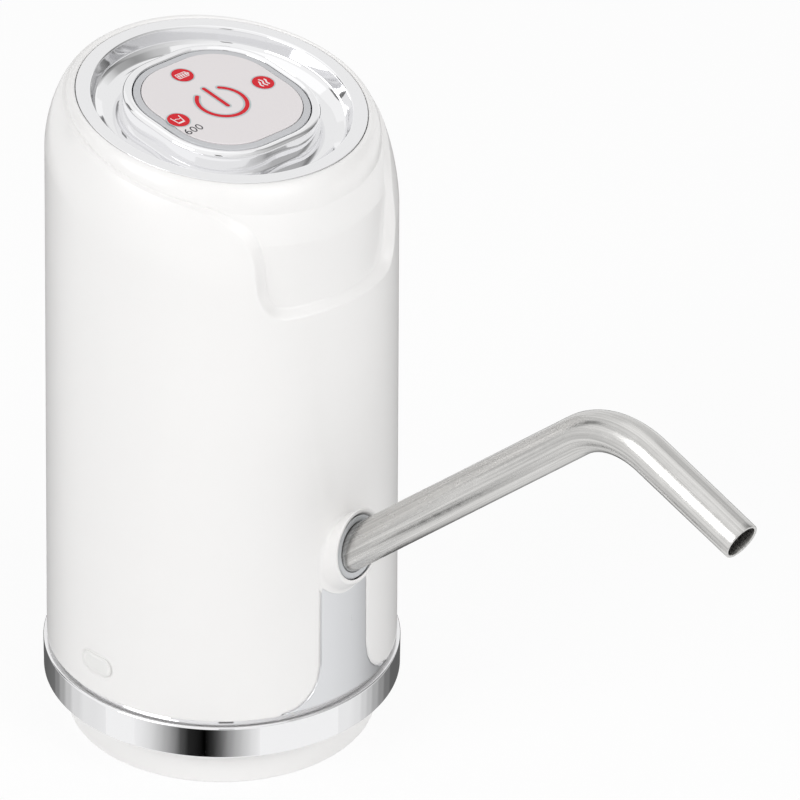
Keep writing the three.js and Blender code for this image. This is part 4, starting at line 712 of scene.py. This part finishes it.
def trim(columns=48, rows=90, thick=0.5):
    """The strip: its face and a side that goes in all round it."""
    points = []
    for i in range(rows + 1):
        points += [trim_point(-1 + 2 * j / columns, i / rows) for j in range(columns + 1)]
    faces = grid_faces(rows + 1, columns + 1, False, False)
    border = [(0, j) for j in range(columns)] + [(i, columns) for i in range(rows)]
    border += [(rows, j) for j in range(columns, 0, -1)] + [(i, 0) for i in range(rows, 0, -1)]
    border = [i * (columns + 1) + j for i, j in border]
    start = len(points)
    for index in border:
        x, y, z = points[index]
        shrink = 1 - thick / math.hypot(x, y)
        points.append((x * shrink, y * shrink, z))
    for k, index in enumerate(border):
        following = (k + 1) % len(border)
        faces.append((index, start + k, start + following, border[following]))
    return points, faces


piece("trim_plate", *trim(), "housing", "satin_metal", ["trim_strip"])

# Port cover: its side and its rounded face, as (inset, depth under the wall's face)
PORT_FACE = (
    (0, 1.2), (0, 0.22), (0.03, 0.1), (0.1, 0.02), (0.2, 0.0), (0.9, 0.0), (1.1, 0.03), (1.6, 0.06),
)


def port_point(x, y, depth):
    """A point of the cover, from its place aside and up of the middle and its depth."""
    radius = wall_r(PORT_Z + y) - depth
    angle = PORT_ANGLE + x / wall_r(PORT_Z)
    return radius * math.sin(angle), -radius * math.cos(angle), PORT_Z + y


def port_cover():
    """Rings of the cover's outline, closed in the middle by a ridge between its two round ends."""
    points = []
    for inset, depth in PORT_FACE:
        points += [port_point(x, y, depth) for x, y in oblong(-0.02 - inset)]
    count = len(points) // len(PORT_FACE)
    base = len(points) - count
    faces = grid_faces(len(PORT_FACE), count, False, True)
    first, second = len(points), len(points) + 1
    points += [port_point(side * (PORT_W - PORT_H) / 2, 0, 0.07) for side in (1, -1)]
    half = count // 2
    for k in range(count):
        a, b = base + k, base + (k + 1) % count
        if k == half - 1:
            faces.append((a, b, second, first))
        elif k == count - 1:
            faces.append((a, b, first, second))
        else:
            faces.append((a, b, first if k < half else second))
    return points, faces


piece("port_plug", *port_cover(), "port_flap", "port_cover", ["usb_cover"])

# Dish and button, from profiles in the lip's plane: (radius or half-width, height, rounding)
LIP_INNER_R = 26.49
TROUGH_R, TROUGH_Z, TROUGH_HALF = 19.3, -4.5, 19.09
DISH = [
    (28, -9, 0.1), (29.46, -9, 0.1), (29.46, 0, 0.16), (LIP_INNER_R, 0, 0.55),
    (LIP_INNER_R - 0.9, -3.2, 1.6), (LIP_INNER_R - 3.2, TROUGH_Z, 2.2), (TROUGH_R, TROUGH_Z, 0),
    (TROUGH_R, -6, 0), (28, -6, 0.2),
]
BUTTON_RING = [
    (16.71, -7.4, 0.1), (20.4, -7.4, 0.1), (20.4, -6.4, 0.1), (19.04, -6.4, 0), (19.04, -4.2, 0.5),
    (18.59, -0.2, 1.2), (17.69, 0.24, 0.8), (16.71, -0.1, 0.35),
]
BUTTON_BORDER = [
    (15.04, -1.1, 0), (15.04, -0.02, 0.05), (16.51, -0.02, 0.3), (16.51, -3.9, 0.1),
    (15.04, -3.9, 0),
]
LENS_TOP = 0.145
LENS = [
    (14.89, -0.6), (14.89, 0.02), (14.86, 0.08), (14.79, 0.12), (14.64, 0.14), (12, LENS_TOP),
    (8, LENS_TOP), (4.2, LENS_TOP),
]


def square_reach(way, half):
    """How far a rounded square's outline is from its middle, towards a way."""
    low, high = 5.0, 40.0
    for _ in range(30):
        middle = (low + high) / 2
        x, y = np.abs(way * middle)
        if math.hypot(max(x - CORE, 0), max(y - CORE, 0)) < half - CORE:
            low = middle
        else:
            high = middle
    return low


def dish():
    """The dish, its inner rings pulled onto the rounded square of the button's frame."""
    points, faces = lathe(rounded(DISH, steps=10), 256)
    for i in np.where(np.hypot(points[:, 0], points[:, 1]) < TROUGH_R + 0.1)[0]:
        way = unit(points[i, :2])
        points[i, :2] = way * square_reach(way, TROUGH_HALF)
    return tilt(points), faces


def tilted(points, faces):
    return tilt(points), faces


def lens():
    """The panel: stacked squares, closed in the middle by a fan."""
    points, faces = square_sweep(LENS, closed=False)
    count = len(points) // len(LENS)
    base = len(points) - count
    faces += [(base + k, base + (k + 1) % count, len(points)) for k in range(count)]
    return tilt(np.vstack([points, [(0, 0, LENS_TOP)]])), faces


button_ring = tilted(*square_sweep(rounded(BUTTON_RING, steps=8)))
button_border = tilted(*square_sweep(rounded(BUTTON_BORDER)[::-1]))
piece("dish", *dish(), "housing", "polished_chrome", ["dish_bezel"])
piece("button_ring", *button_ring, "housing", "polished_chrome", ["button_frame"])
piece("button_border", *button_border, "button", "lens_border", ["button_carrier"])
piece("button_panel", *lens(), "button", "lens", ["button_lens"])

# Printed pictograms. They are read from the spout's side, so up in them is +y and right is +x
PRINT_Z = 0.152
INK_LEVEL, SIGN_LEVEL = 0.012, 0.024


def flat_print(name, outlines, look, level):
    """Flat outlines in the plane of the lip, each a closed list of (x, y)."""
    points, faces = [], []
    for outline in outlines:
        start = len(points)
        points += [(x, y, PRINT_Z + level) for x, y in outline]
        area = sum(a[0] * b[1] - b[0] * a[1] for a, b in zip(outline, outline[1:] + outline[:1]))
        order = list(range(start, start + len(outline)))
        faces.append(tuple(order if area > 0 else order[::-1]))
    obj = piece(name, tilt(points), faces, "button", "lens", look=look, weighted=False)
    obj.data.polygons.foreach_set("use_smooth", [False] * len(faces))


def disc(x, y, radius, steps=48):
    turns = [2 * math.pi * k / steps for k in range(steps)]
    return [(x + radius * math.cos(turn), y + radius * math.sin(turn)) for turn in turns]


def band(line, width, round_ends=True):
    """Outlines that cover a line with a width: four sides each step, and half a disc per end."""
    half = width / 2
    sides, turns = [], []
    for i, (x, y) in enumerate(line):
        x0, y0 = line[max(i - 1, 0)]
        x1, y1 = line[min(i + 1, len(line) - 1)]
        turn = math.atan2(y1 - y0, x1 - x0)
        turns.append(turn)
        nx, ny = -math.sin(turn) * half, math.cos(turn) * half
        sides.append(((x + nx, y + ny), (x - nx, y - ny)))
    out = [[a, b, d, c] for (a, b), (c, d) in zip(sides, sides[1:])]
    if round_ends:
        for (x, y), turn in ((line[0], turns[0] + math.pi), (line[-1], turns[-1])):
            angles = [turn + math.pi * (k / 12 - 0.5) for k in range(13)]
            out.append([(x + half * math.cos(t), y + half * math.sin(t)) for t in angles])
    return out


def arc_line(radius, start, end, steps=48):
    """Points of an arc, with its angles clockwise from the top."""
    turns = [start + (end - start) * k / steps for k in range(steps + 1)]
    return [(radius * math.sin(turn), radius * math.cos(turn)) for turn in turns]


def moved(outlines, x, y):
    return [[(x + px, y + py) for px, py in outline] for outline in outlines]


def box_outline(x0, y0, x1, y1):
    return [(x0, y0), (x1, y0), (x1, y1), (x0, y1)]


# the power sign: an open ring and a bar, each on a wider pale one
POWER_AT, POWER_R, POWER_GAP = (-0.95, -0.95), 5.1, math.radians(36)
power = arc_line(POWER_R, POWER_GAP, 2 * math.pi - POWER_GAP)
bar = [(0.1, 5.5), (0.1, -1.6)]
POWER_LAYERS = (("halo", 1.6, "print_halo", 0), ("sign", 0.85, "print_red", INK_LEVEL))
for kind, width, look, level in POWER_LAYERS:
    flat_print(f"power_{kind}", moved(band(power, width), *POWER_AT), look, level)
    flat_print(f"bar_{kind}", moved(band(bar, width), *POWER_AT), look, level)

# three red discs on pale ones, with a white sign each
HALO_R, DISC_R = 2.55, 2.28
ICONS = {"battery": (-1.1, 10.6), "flow": (10.9, -0.45), "cup": (-12.8, -0.85)}
for name, (x, y) in ICONS.items():
    flat_print(f"{name}_halo", [disc(x, y, HALO_R)], "print_halo", 0)
    flat_print(f"{name}_disc", [disc(x, y, DISC_R)], "print_red", INK_LEVEL)


def battery_sign():
    """A cell with four bars in it and a cap at its end."""
    cell = [(1.2, -0.75), (1.2, 0.75), (-1.45, 0.75), (-1.45, -0.75)]
    out = [edge for k in range(4) for edge in band([cell[k], cell[(k + 1) % 4]], 0.2, False)]
    out += [box_outline(-1.15 + 0.6 * k, -0.48, -0.78 + 0.6 * k, 0.48) for k in range(4)]
    return out + [box_outline(1.36, -0.3, 1.62, 0.3)]


def flow_sign():
    """Three upright waves, the middle one taller."""
    out = []
    for x, low, high in ((-0.85, -0.95, 0.6), (0, -1.15, 1.15), (0.85, -0.95, 0.75)):
        heights = [low + (high - low) * k / 16 for k in range(17)]
        out += band([(x + 0.22 * math.sin(3.2 * y), y) for y in heights], 0.36)
    return out


def cup_sign():
    """A cup with a heavy foot, and the wavy top of what is in it."""
    out = band([(-1.05, 1.15), (-0.72, -1.05)], 0.24) + band([(1.05, 1.15), (0.72, -1.05)], 0.24)
    out.append(box_outline(-0.6, -1.17, 0.6, -0.72))
    return out + band([(-0.78, 0.3), (-0.3, 0.46), (0.3, 0.16), (0.78, 0.3)], 0.18, False)


for name, sign in (("battery", battery_sign), ("flow", flow_sign), ("cup", cup_sign)):
    flat_print(f"{name}_sign", moved(sign(), *ICONS[name]), "print_white", SIGN_LEVEL)


def oval(x, y, rx, ry):
    turns = [math.pi * k / 12 for k in range(25)]
    return [(x + rx * math.sin(turn), y + ry * math.cos(turn)) for turn in turns]


# strokes of plain numerals in a box one wide and two high, and the number's place and measures
DIGITS = {
    "0": [oval(0.5, 1, 0.42, 0.9)],
    "6": [oval(0.5, 0.55, 0.42, 0.47), [(0.08, 0.62), (0.1, 1.0), (0.28, 1.5), (0.62, 1.9)]],
}
NUMBER_AT, DIGIT_PITCH, DIGIT_W, DIGIT_H, STROKE = (-14.6, -5.9), 1.25, 1.2, 0.94, 0.26
for place, which in enumerate("600"):
    for stroke, line in enumerate(DIGITS[which]):
        line = [((x + DIGIT_PITCH * place) * DIGIT_W, y * DIGIT_H) for x, y in line]
        shape = moved(band(line, STROKE, False), *NUMBER_AT)
        flat_print(f"number_{place}_{stroke}", shape, "print_dark", INK_LEVEL + 0.006 * stroke)

# Ring at the foot, neck collar, neck seal and inlet, from profiles of (radius, z, rounding)
BASE_RING = [
    (28.9, -1.9, 0.1), (33.2, -1.9, 0), (33.2, RING_FOOT_Z, 0.1), (RING_R, RING_FOOT_Z, 0.35),
    (RING_R, -0.88, 0.45), (36.2, -0.88, 0.05), (36.2, -0.3, 0.05), (28.9, -0.3, 0.1),
]
NECK_COLLAR = [
    (28.6, -2.2, 0), (28.6, NECK_FOOT_Z, 0.5), (32.9, NECK_FOOT_Z, 0.5), (32.9, -2.2, 0),
]
NECK_SEAL = [
    (22.5, -0.3, 0), (22.5, -3.2, 0.5), (24.2, -3.2, 0.4), (24.9, -2.4, 0.5), (25.9, -2.4, 0.5),
    (26.6, -3.2, 0.4), (28.3, -3.2, 0.5), (28.3, -0.3, 0),
]
INLET_AT = (-16, 8, 0)
base_ring = lathe(rounded(BASE_RING), 256)
piece("base_ring", *base_ring, "housing", "polished_chrome", ["base_band"])
neck_collar = lathe(rounded(NECK_COLLAR), 224)
piece("jug_collar", *neck_collar, "housing", "white_plastic", ["neck_collar"])
neck_seal = lathe(rounded(NECK_SEAL), 160)
piece("seal_ring", *neck_seal, "housing", "silicone", ["neck_seal"])


def inlet():
    """The fitting for the suction hose: a barbed tail, a flange and a stub inside the body."""
    profile = [(2, -14, 0.15)]
    for k in range(3):
        z = -14 + 2.5 * k
        profile += [(3.2, z, 0.1), (3.58, z + 2.1, 0.15)]
    profile += [
        (3.55, 3.3, 0), (5.45, 3.3, 0.1), (5.45, 4.8, 0.2), (2.7, 4.8, 0), (2.7, 10.5, 0.3),
        (1.6, 10.5, 0), (1.6, 3.3, 0.2),
    ]
    points, faces = lathe(rounded(profile), 96)
    return points + np.array(INLET_AT), faces


piece("inlet_tail", *inlet(), "housing", "grey_plastic", ["inlet_barb"])

# Stage: world, floor, lights and the sheets that only reflections show, all in metres
FLOOR_Z = NECK_FOOT_Z * MM
FLOOR_HALF = 4
AIM = (0, 0, 0.05)
CAMERA_AZIMUTH = math.radians(-43.5)


def seen_or_mirrored(tree):
    """1 for the camera's rays and for those that metal and glass send on, else 0."""
    path = tree.nodes.new("ShaderNodeLightPath")
    value = path.outputs["Is Camera Ray"]
    for other in ("Is Glossy Ray", "Is Transmission Ray"):
        either = tree.nodes.new("ShaderNodeMath")
        either.operation = "MAXIMUM"
        tree.links.new(value, either.inputs[0])
        tree.links.new(path.outputs[other], either.inputs[1])
        value = either.outputs[0]
    return value


def mixed(tree, factor, first, second):
    """Two shaders mixed, by a number or by a node's value."""
    node = tree.nodes.new("ShaderNodeMixShader")
    if isinstance(factor, float):
        node.inputs["Fac"].default_value = factor
    else:
        tree.links.new(factor, node.inputs["Fac"])
    tree.links.new(first, node.inputs[1])
    tree.links.new(second, node.inputs[2])
    return node.outputs[0]


def glow(tree, kind, level):
    """A grey light of its own: a Background or an Emission."""
    node = tree.nodes.new(kind)
    node.inputs["Color"].default_value = (1, 1, 1, 1)
    node.inputs["Strength"].default_value = level
    return node.outputs[0]


def matt(tree, level):
    node = tree.nodes.new("ShaderNodeBsdfDiffuse")
    node.inputs["Color"].default_value = (level, level, level, 1)
    return node.outputs[0]


def stage_plane(name, corners, white):
    """A flat sheet of the stage, with its own empty material."""
    mesh = bpy.data.meshes.new(name)
    mesh.from_pydata(corners, [], [(0, 1, 2, 3)])
    sheet = bpy.data.objects.new(name, mesh)
    bpy.context.scene.collection.objects.link(sheet)
    mat = bpy.data.materials.new(name)
    mat.use_nodes = True
    mat.node_tree.nodes.remove(mat.node_tree.nodes["Principled BSDF"])
    mesh.materials.append(mat)
    if not white:
        sheet.visible_camera = sheet.visible_diffuse = sheet.visible_shadow = False
    return mat.node_tree, mat.node_tree.nodes["Material Output"].inputs["Surface"]


def studio_world():
    """White all round where it is seen or mirrored, and a softer grey for its other light."""
    world = bpy.data.worlds.new("studio")
    bpy.context.scene.world = world
    world.use_nodes = True
    tree = world.node_tree
    for old in list(tree.nodes):
        tree.nodes.remove(old)
    surface = tree.nodes.new("ShaderNodeOutputWorld").inputs["Surface"]
    grey, white = (glow(tree, "ShaderNodeBackground", level) for level in (0.55, 1.0))
    tree.links.new(mixed(tree, seen_or_mirrored(tree), grey, white), surface)


def floor():
    """A white floor that mostly glows where it is seen, and is matt for all other light."""
    ways = ((-1, -1), (1, -1), (1, 1), (-1, 1))
    corners = [(x * FLOOR_HALF, y * FLOOR_HALF, FLOOR_Z) for x, y in ways]
    tree, surface = stage_plane("floor", corners, True)
    seen = mixed(tree, 0.9, matt(tree, 0.96), glow(tree, "ShaderNodeEmission", 1.0))
    tree.links.new(mixed(tree, seen_or_mirrored(tree), matt(tree, 0.85), seen), surface)


def area_light(name, place, size, power):
    """A square light that is aimed at the object."""
    data = bpy.data.lights.new(name, "AREA")
    data.energy = power
    data.size = size
    lamp = bpy.data.objects.new(name, data)
    lamp.location = place
    lamp.rotation_euler = (Vector(AIM) - Vector(place)).to_track_quat("-Z", "Y").to_euler()
    bpy.context.scene.collection.objects.link(lamp)


def around(degrees, height, reach):
    """A place at an angle round the body, a height in degrees and a distance from AIM."""
    a, e = math.radians(degrees), math.radians(height)
    across = reach * math.cos(e)
    return across * math.sin(a), -across * math.cos(a), AIM[2] + reach * math.sin(e)


def dark_sheet(name, corners, levels):
    """A sheet of the stage that only shows in what reflects it, with a level at each corner."""
    tree, surface = stage_plane(name, corners, False)
    mesh = bpy.data.meshes[name]
    mesh.attributes.new("level", "FLOAT", "POINT").data.foreach_set("value", levels)
    level = tree.nodes.new("ShaderNodeAttribute")
    level.attribute_name = "level"
    shine = tree.nodes.new("ShaderNodeEmission")
    tree.links.new(level.outputs["Fac"], shine.inputs["Strength"])
    tree.links.new(shine.outputs[0], surface)


def card(name, degrees, reach, width, low, high, foot, head):
    """An upright sheet beside the object, with a level at its foot and at its head."""
    a = math.radians(degrees)
    x, y = reach * math.sin(a), -reach * math.cos(a)
    side = (math.cos(a) * width / 2, math.sin(a) * width / 2)
    left, right = (x - side[0], y - side[1]), (x + side[0], y + side[1])
    corners = [(*left, low), (*right, low), (*right, high), (*left, high)]
    dark_sheet(name, corners, [foot, foot, head, head])


def grey_wall(stops, low=4, high=62, reach=1.4, lighter=0.3):
    """Sheets side by side that lean over the object, from stops of (angle, level at the foot)."""
    for (start, first), (end, second) in zip(stops, stops[1:]):
        places = ((start, low), (end, low), (end, high), (start, high))
        corners = [around(degrees, height, reach) for degrees, height in places]
        levels = [first, second, min(second + lighter, 1), min(first + lighter, 1)]
        dark_sheet(f"grey_wall_{start}", corners, levels)


def on_floor(towards, aside):
    """A place just over the floor, in mm towards the camera and to its right."""
    s, c = math.sin(CAMERA_AZIMUTH), math.cos(CAMERA_AZIMUTH)
    return (towards * s + aside * c) * MM, (aside * s - towards * c) * MM, FLOOR_Z + 0.2 * MM


def graded_floor(name, stops, near, far, radius=38):
    """Sheets between the lines on the floor that the round ring mirrors, from (turn, level)."""
    for (start, first), (end, second) in zip(stops, stops[1:]):
        corners = []
        for turn, reach in ((start, near), (start, far), (end, far), (end, near)):
            t = math.radians(turn)
            towards = radius * math.cos(t) + reach * math.cos(2 * t)
            aside = radius * math.sin(t) + reach * math.sin(2 * t)
            corners.append(on_floor(towards, aside))
        dark_sheet(f"{name}_{start}", corners, [first, first, second, second])


studio_world()
floor()
area_light("key", around(-93.5, 28, 1.7), 0.9, 9.8)
area_light("fill", around(4.5, 30, 1.7), 0.9, 9.5)
area_light("top", (0.1, 0.3, 1.4), 1.0, 0.4)
card("card_left", -159, 1.3, 0.35, 0.1, 1.1, 0.05, 0.3)
card("card_front", -41, 1.3, 0.22, 0.2, 0.9, 0.1, 0.3)
card("card_back", 126, 1.5, 2.4, 0.7, 2.2, 0.92, 0.92)
# the wall is on the right, darker away from the camera and lighter again at its end
WALL_LEVELS = [
    (-34, 0.9), (-12, 0.72), (12, 0.58), (36, 0.46), (56, 0.32), (68, 0.1), (80, 0.24), (92, 0.8),
]
grey_wall(WALL_LEVELS)
# the polished ring's soft upright bar, and the darker floor that round sides show at their edges
BAR_LEVELS = [
    (-29, 0.95), (-24, 0.8), (-21, 0.62), (-18.5, 0.46), (-16, 0.31), (-13.3, 0.09), (-10.7, 0.02),
    (-5.6, 0), (-3.1, 0.03), (-0.6, 0.12), (1.9, 0.31), (4.4, 0.48), (6.9, 0.64), (9.4, 0.8),
    (12, 0.93),
]
LEFT_LEVELS = [
    (-90, 0.12), (-71, 0.16), (-68, 0.25), (-64, 0.4), (-60, 0.58), (-56, 0.75), (-50, 0.85),
    (-40, 0.9),
]
RIGHT_LEVELS = [
    (40, 0.9), (48, 0.82), (51, 0.7), (54, 0.58), (57, 0.44), (61, 0.31), (65, 0.2), (70, 0.13),
    (90, 0.12),
]
graded_floor("bar", BAR_LEVELS, 13.5, 33)
graded_floor("left", LEFT_LEVELS, 2, 420)
graded_floor("right", RIGHT_LEVELS, 2, 420)

# Camera: 30 degrees above, 43.5 degrees to one side of the spout, 1.04 m from the body's axis
FOCAL_PX, CENTRE_PX, AIM_PX, WIDTH_PX, SENSOR_MM = 5013.1, 400.0, (222.2, 414.3), 800, 36
CAMERA_ELEVATION, CAMERA_FAR, CAMERA_AIM_Z = math.radians(30.32), 1.0412, 0.052


def camera_matrix():
    """The camera's place and turn: the point of the axis that it stands round is at AIM_PX."""
    azimuth, elevation = CAMERA_AZIMUTH, CAMERA_ELEVATION
    level = math.cos(elevation)
    back = Vector((math.sin(azimuth) * level, -math.cos(azimuth) * level, math.sin(elevation)))
    right = Vector((math.cos(azimuth), math.sin(azimuth), 0))
    up = back.cross(right)
    place = Vector((0, 0, CAMERA_AIM_Z)) + back * CAMERA_FAR
    yaw = math.atan((AIM_PX[0] - CENTRE_PX) / FOCAL_PX)
    pitch = math.atan((CENTRE_PX - AIM_PX[1]) / FOCAL_PX * math.cos(yaw))
    turned_right = right * math.cos(yaw) - back * math.sin(yaw)
    turned_back = right * math.sin(yaw) + back * math.cos(yaw)
    raised_up = up * math.cos(pitch) - turned_back * math.sin(pitch)
    raised_back = up * math.sin(pitch) + turned_back * math.cos(pitch)
    columns = (turned_right, raised_up, raised_back, place)
    return Matrix([[column[i] for column in columns] for i in range(3)] + [[0, 0, 0, 1]])


camera_data = bpy.data.cameras.new("camera")
camera_data.sensor_width = SENSOR_MM
camera_data.lens = SENSOR_MM * FOCAL_PX / WIDTH_PX
camera_data.clip_end = 20
camera_data.clip_start = 0.01
camera = bpy.data.objects.new("camera", camera_data)
camera.matrix_world = camera_matrix()
bpy.context.scene.collection.objects.link(camera)
bpy.context.scene.camera = camera
bpy.context.scene.view_settings.view_transform = "Standard"
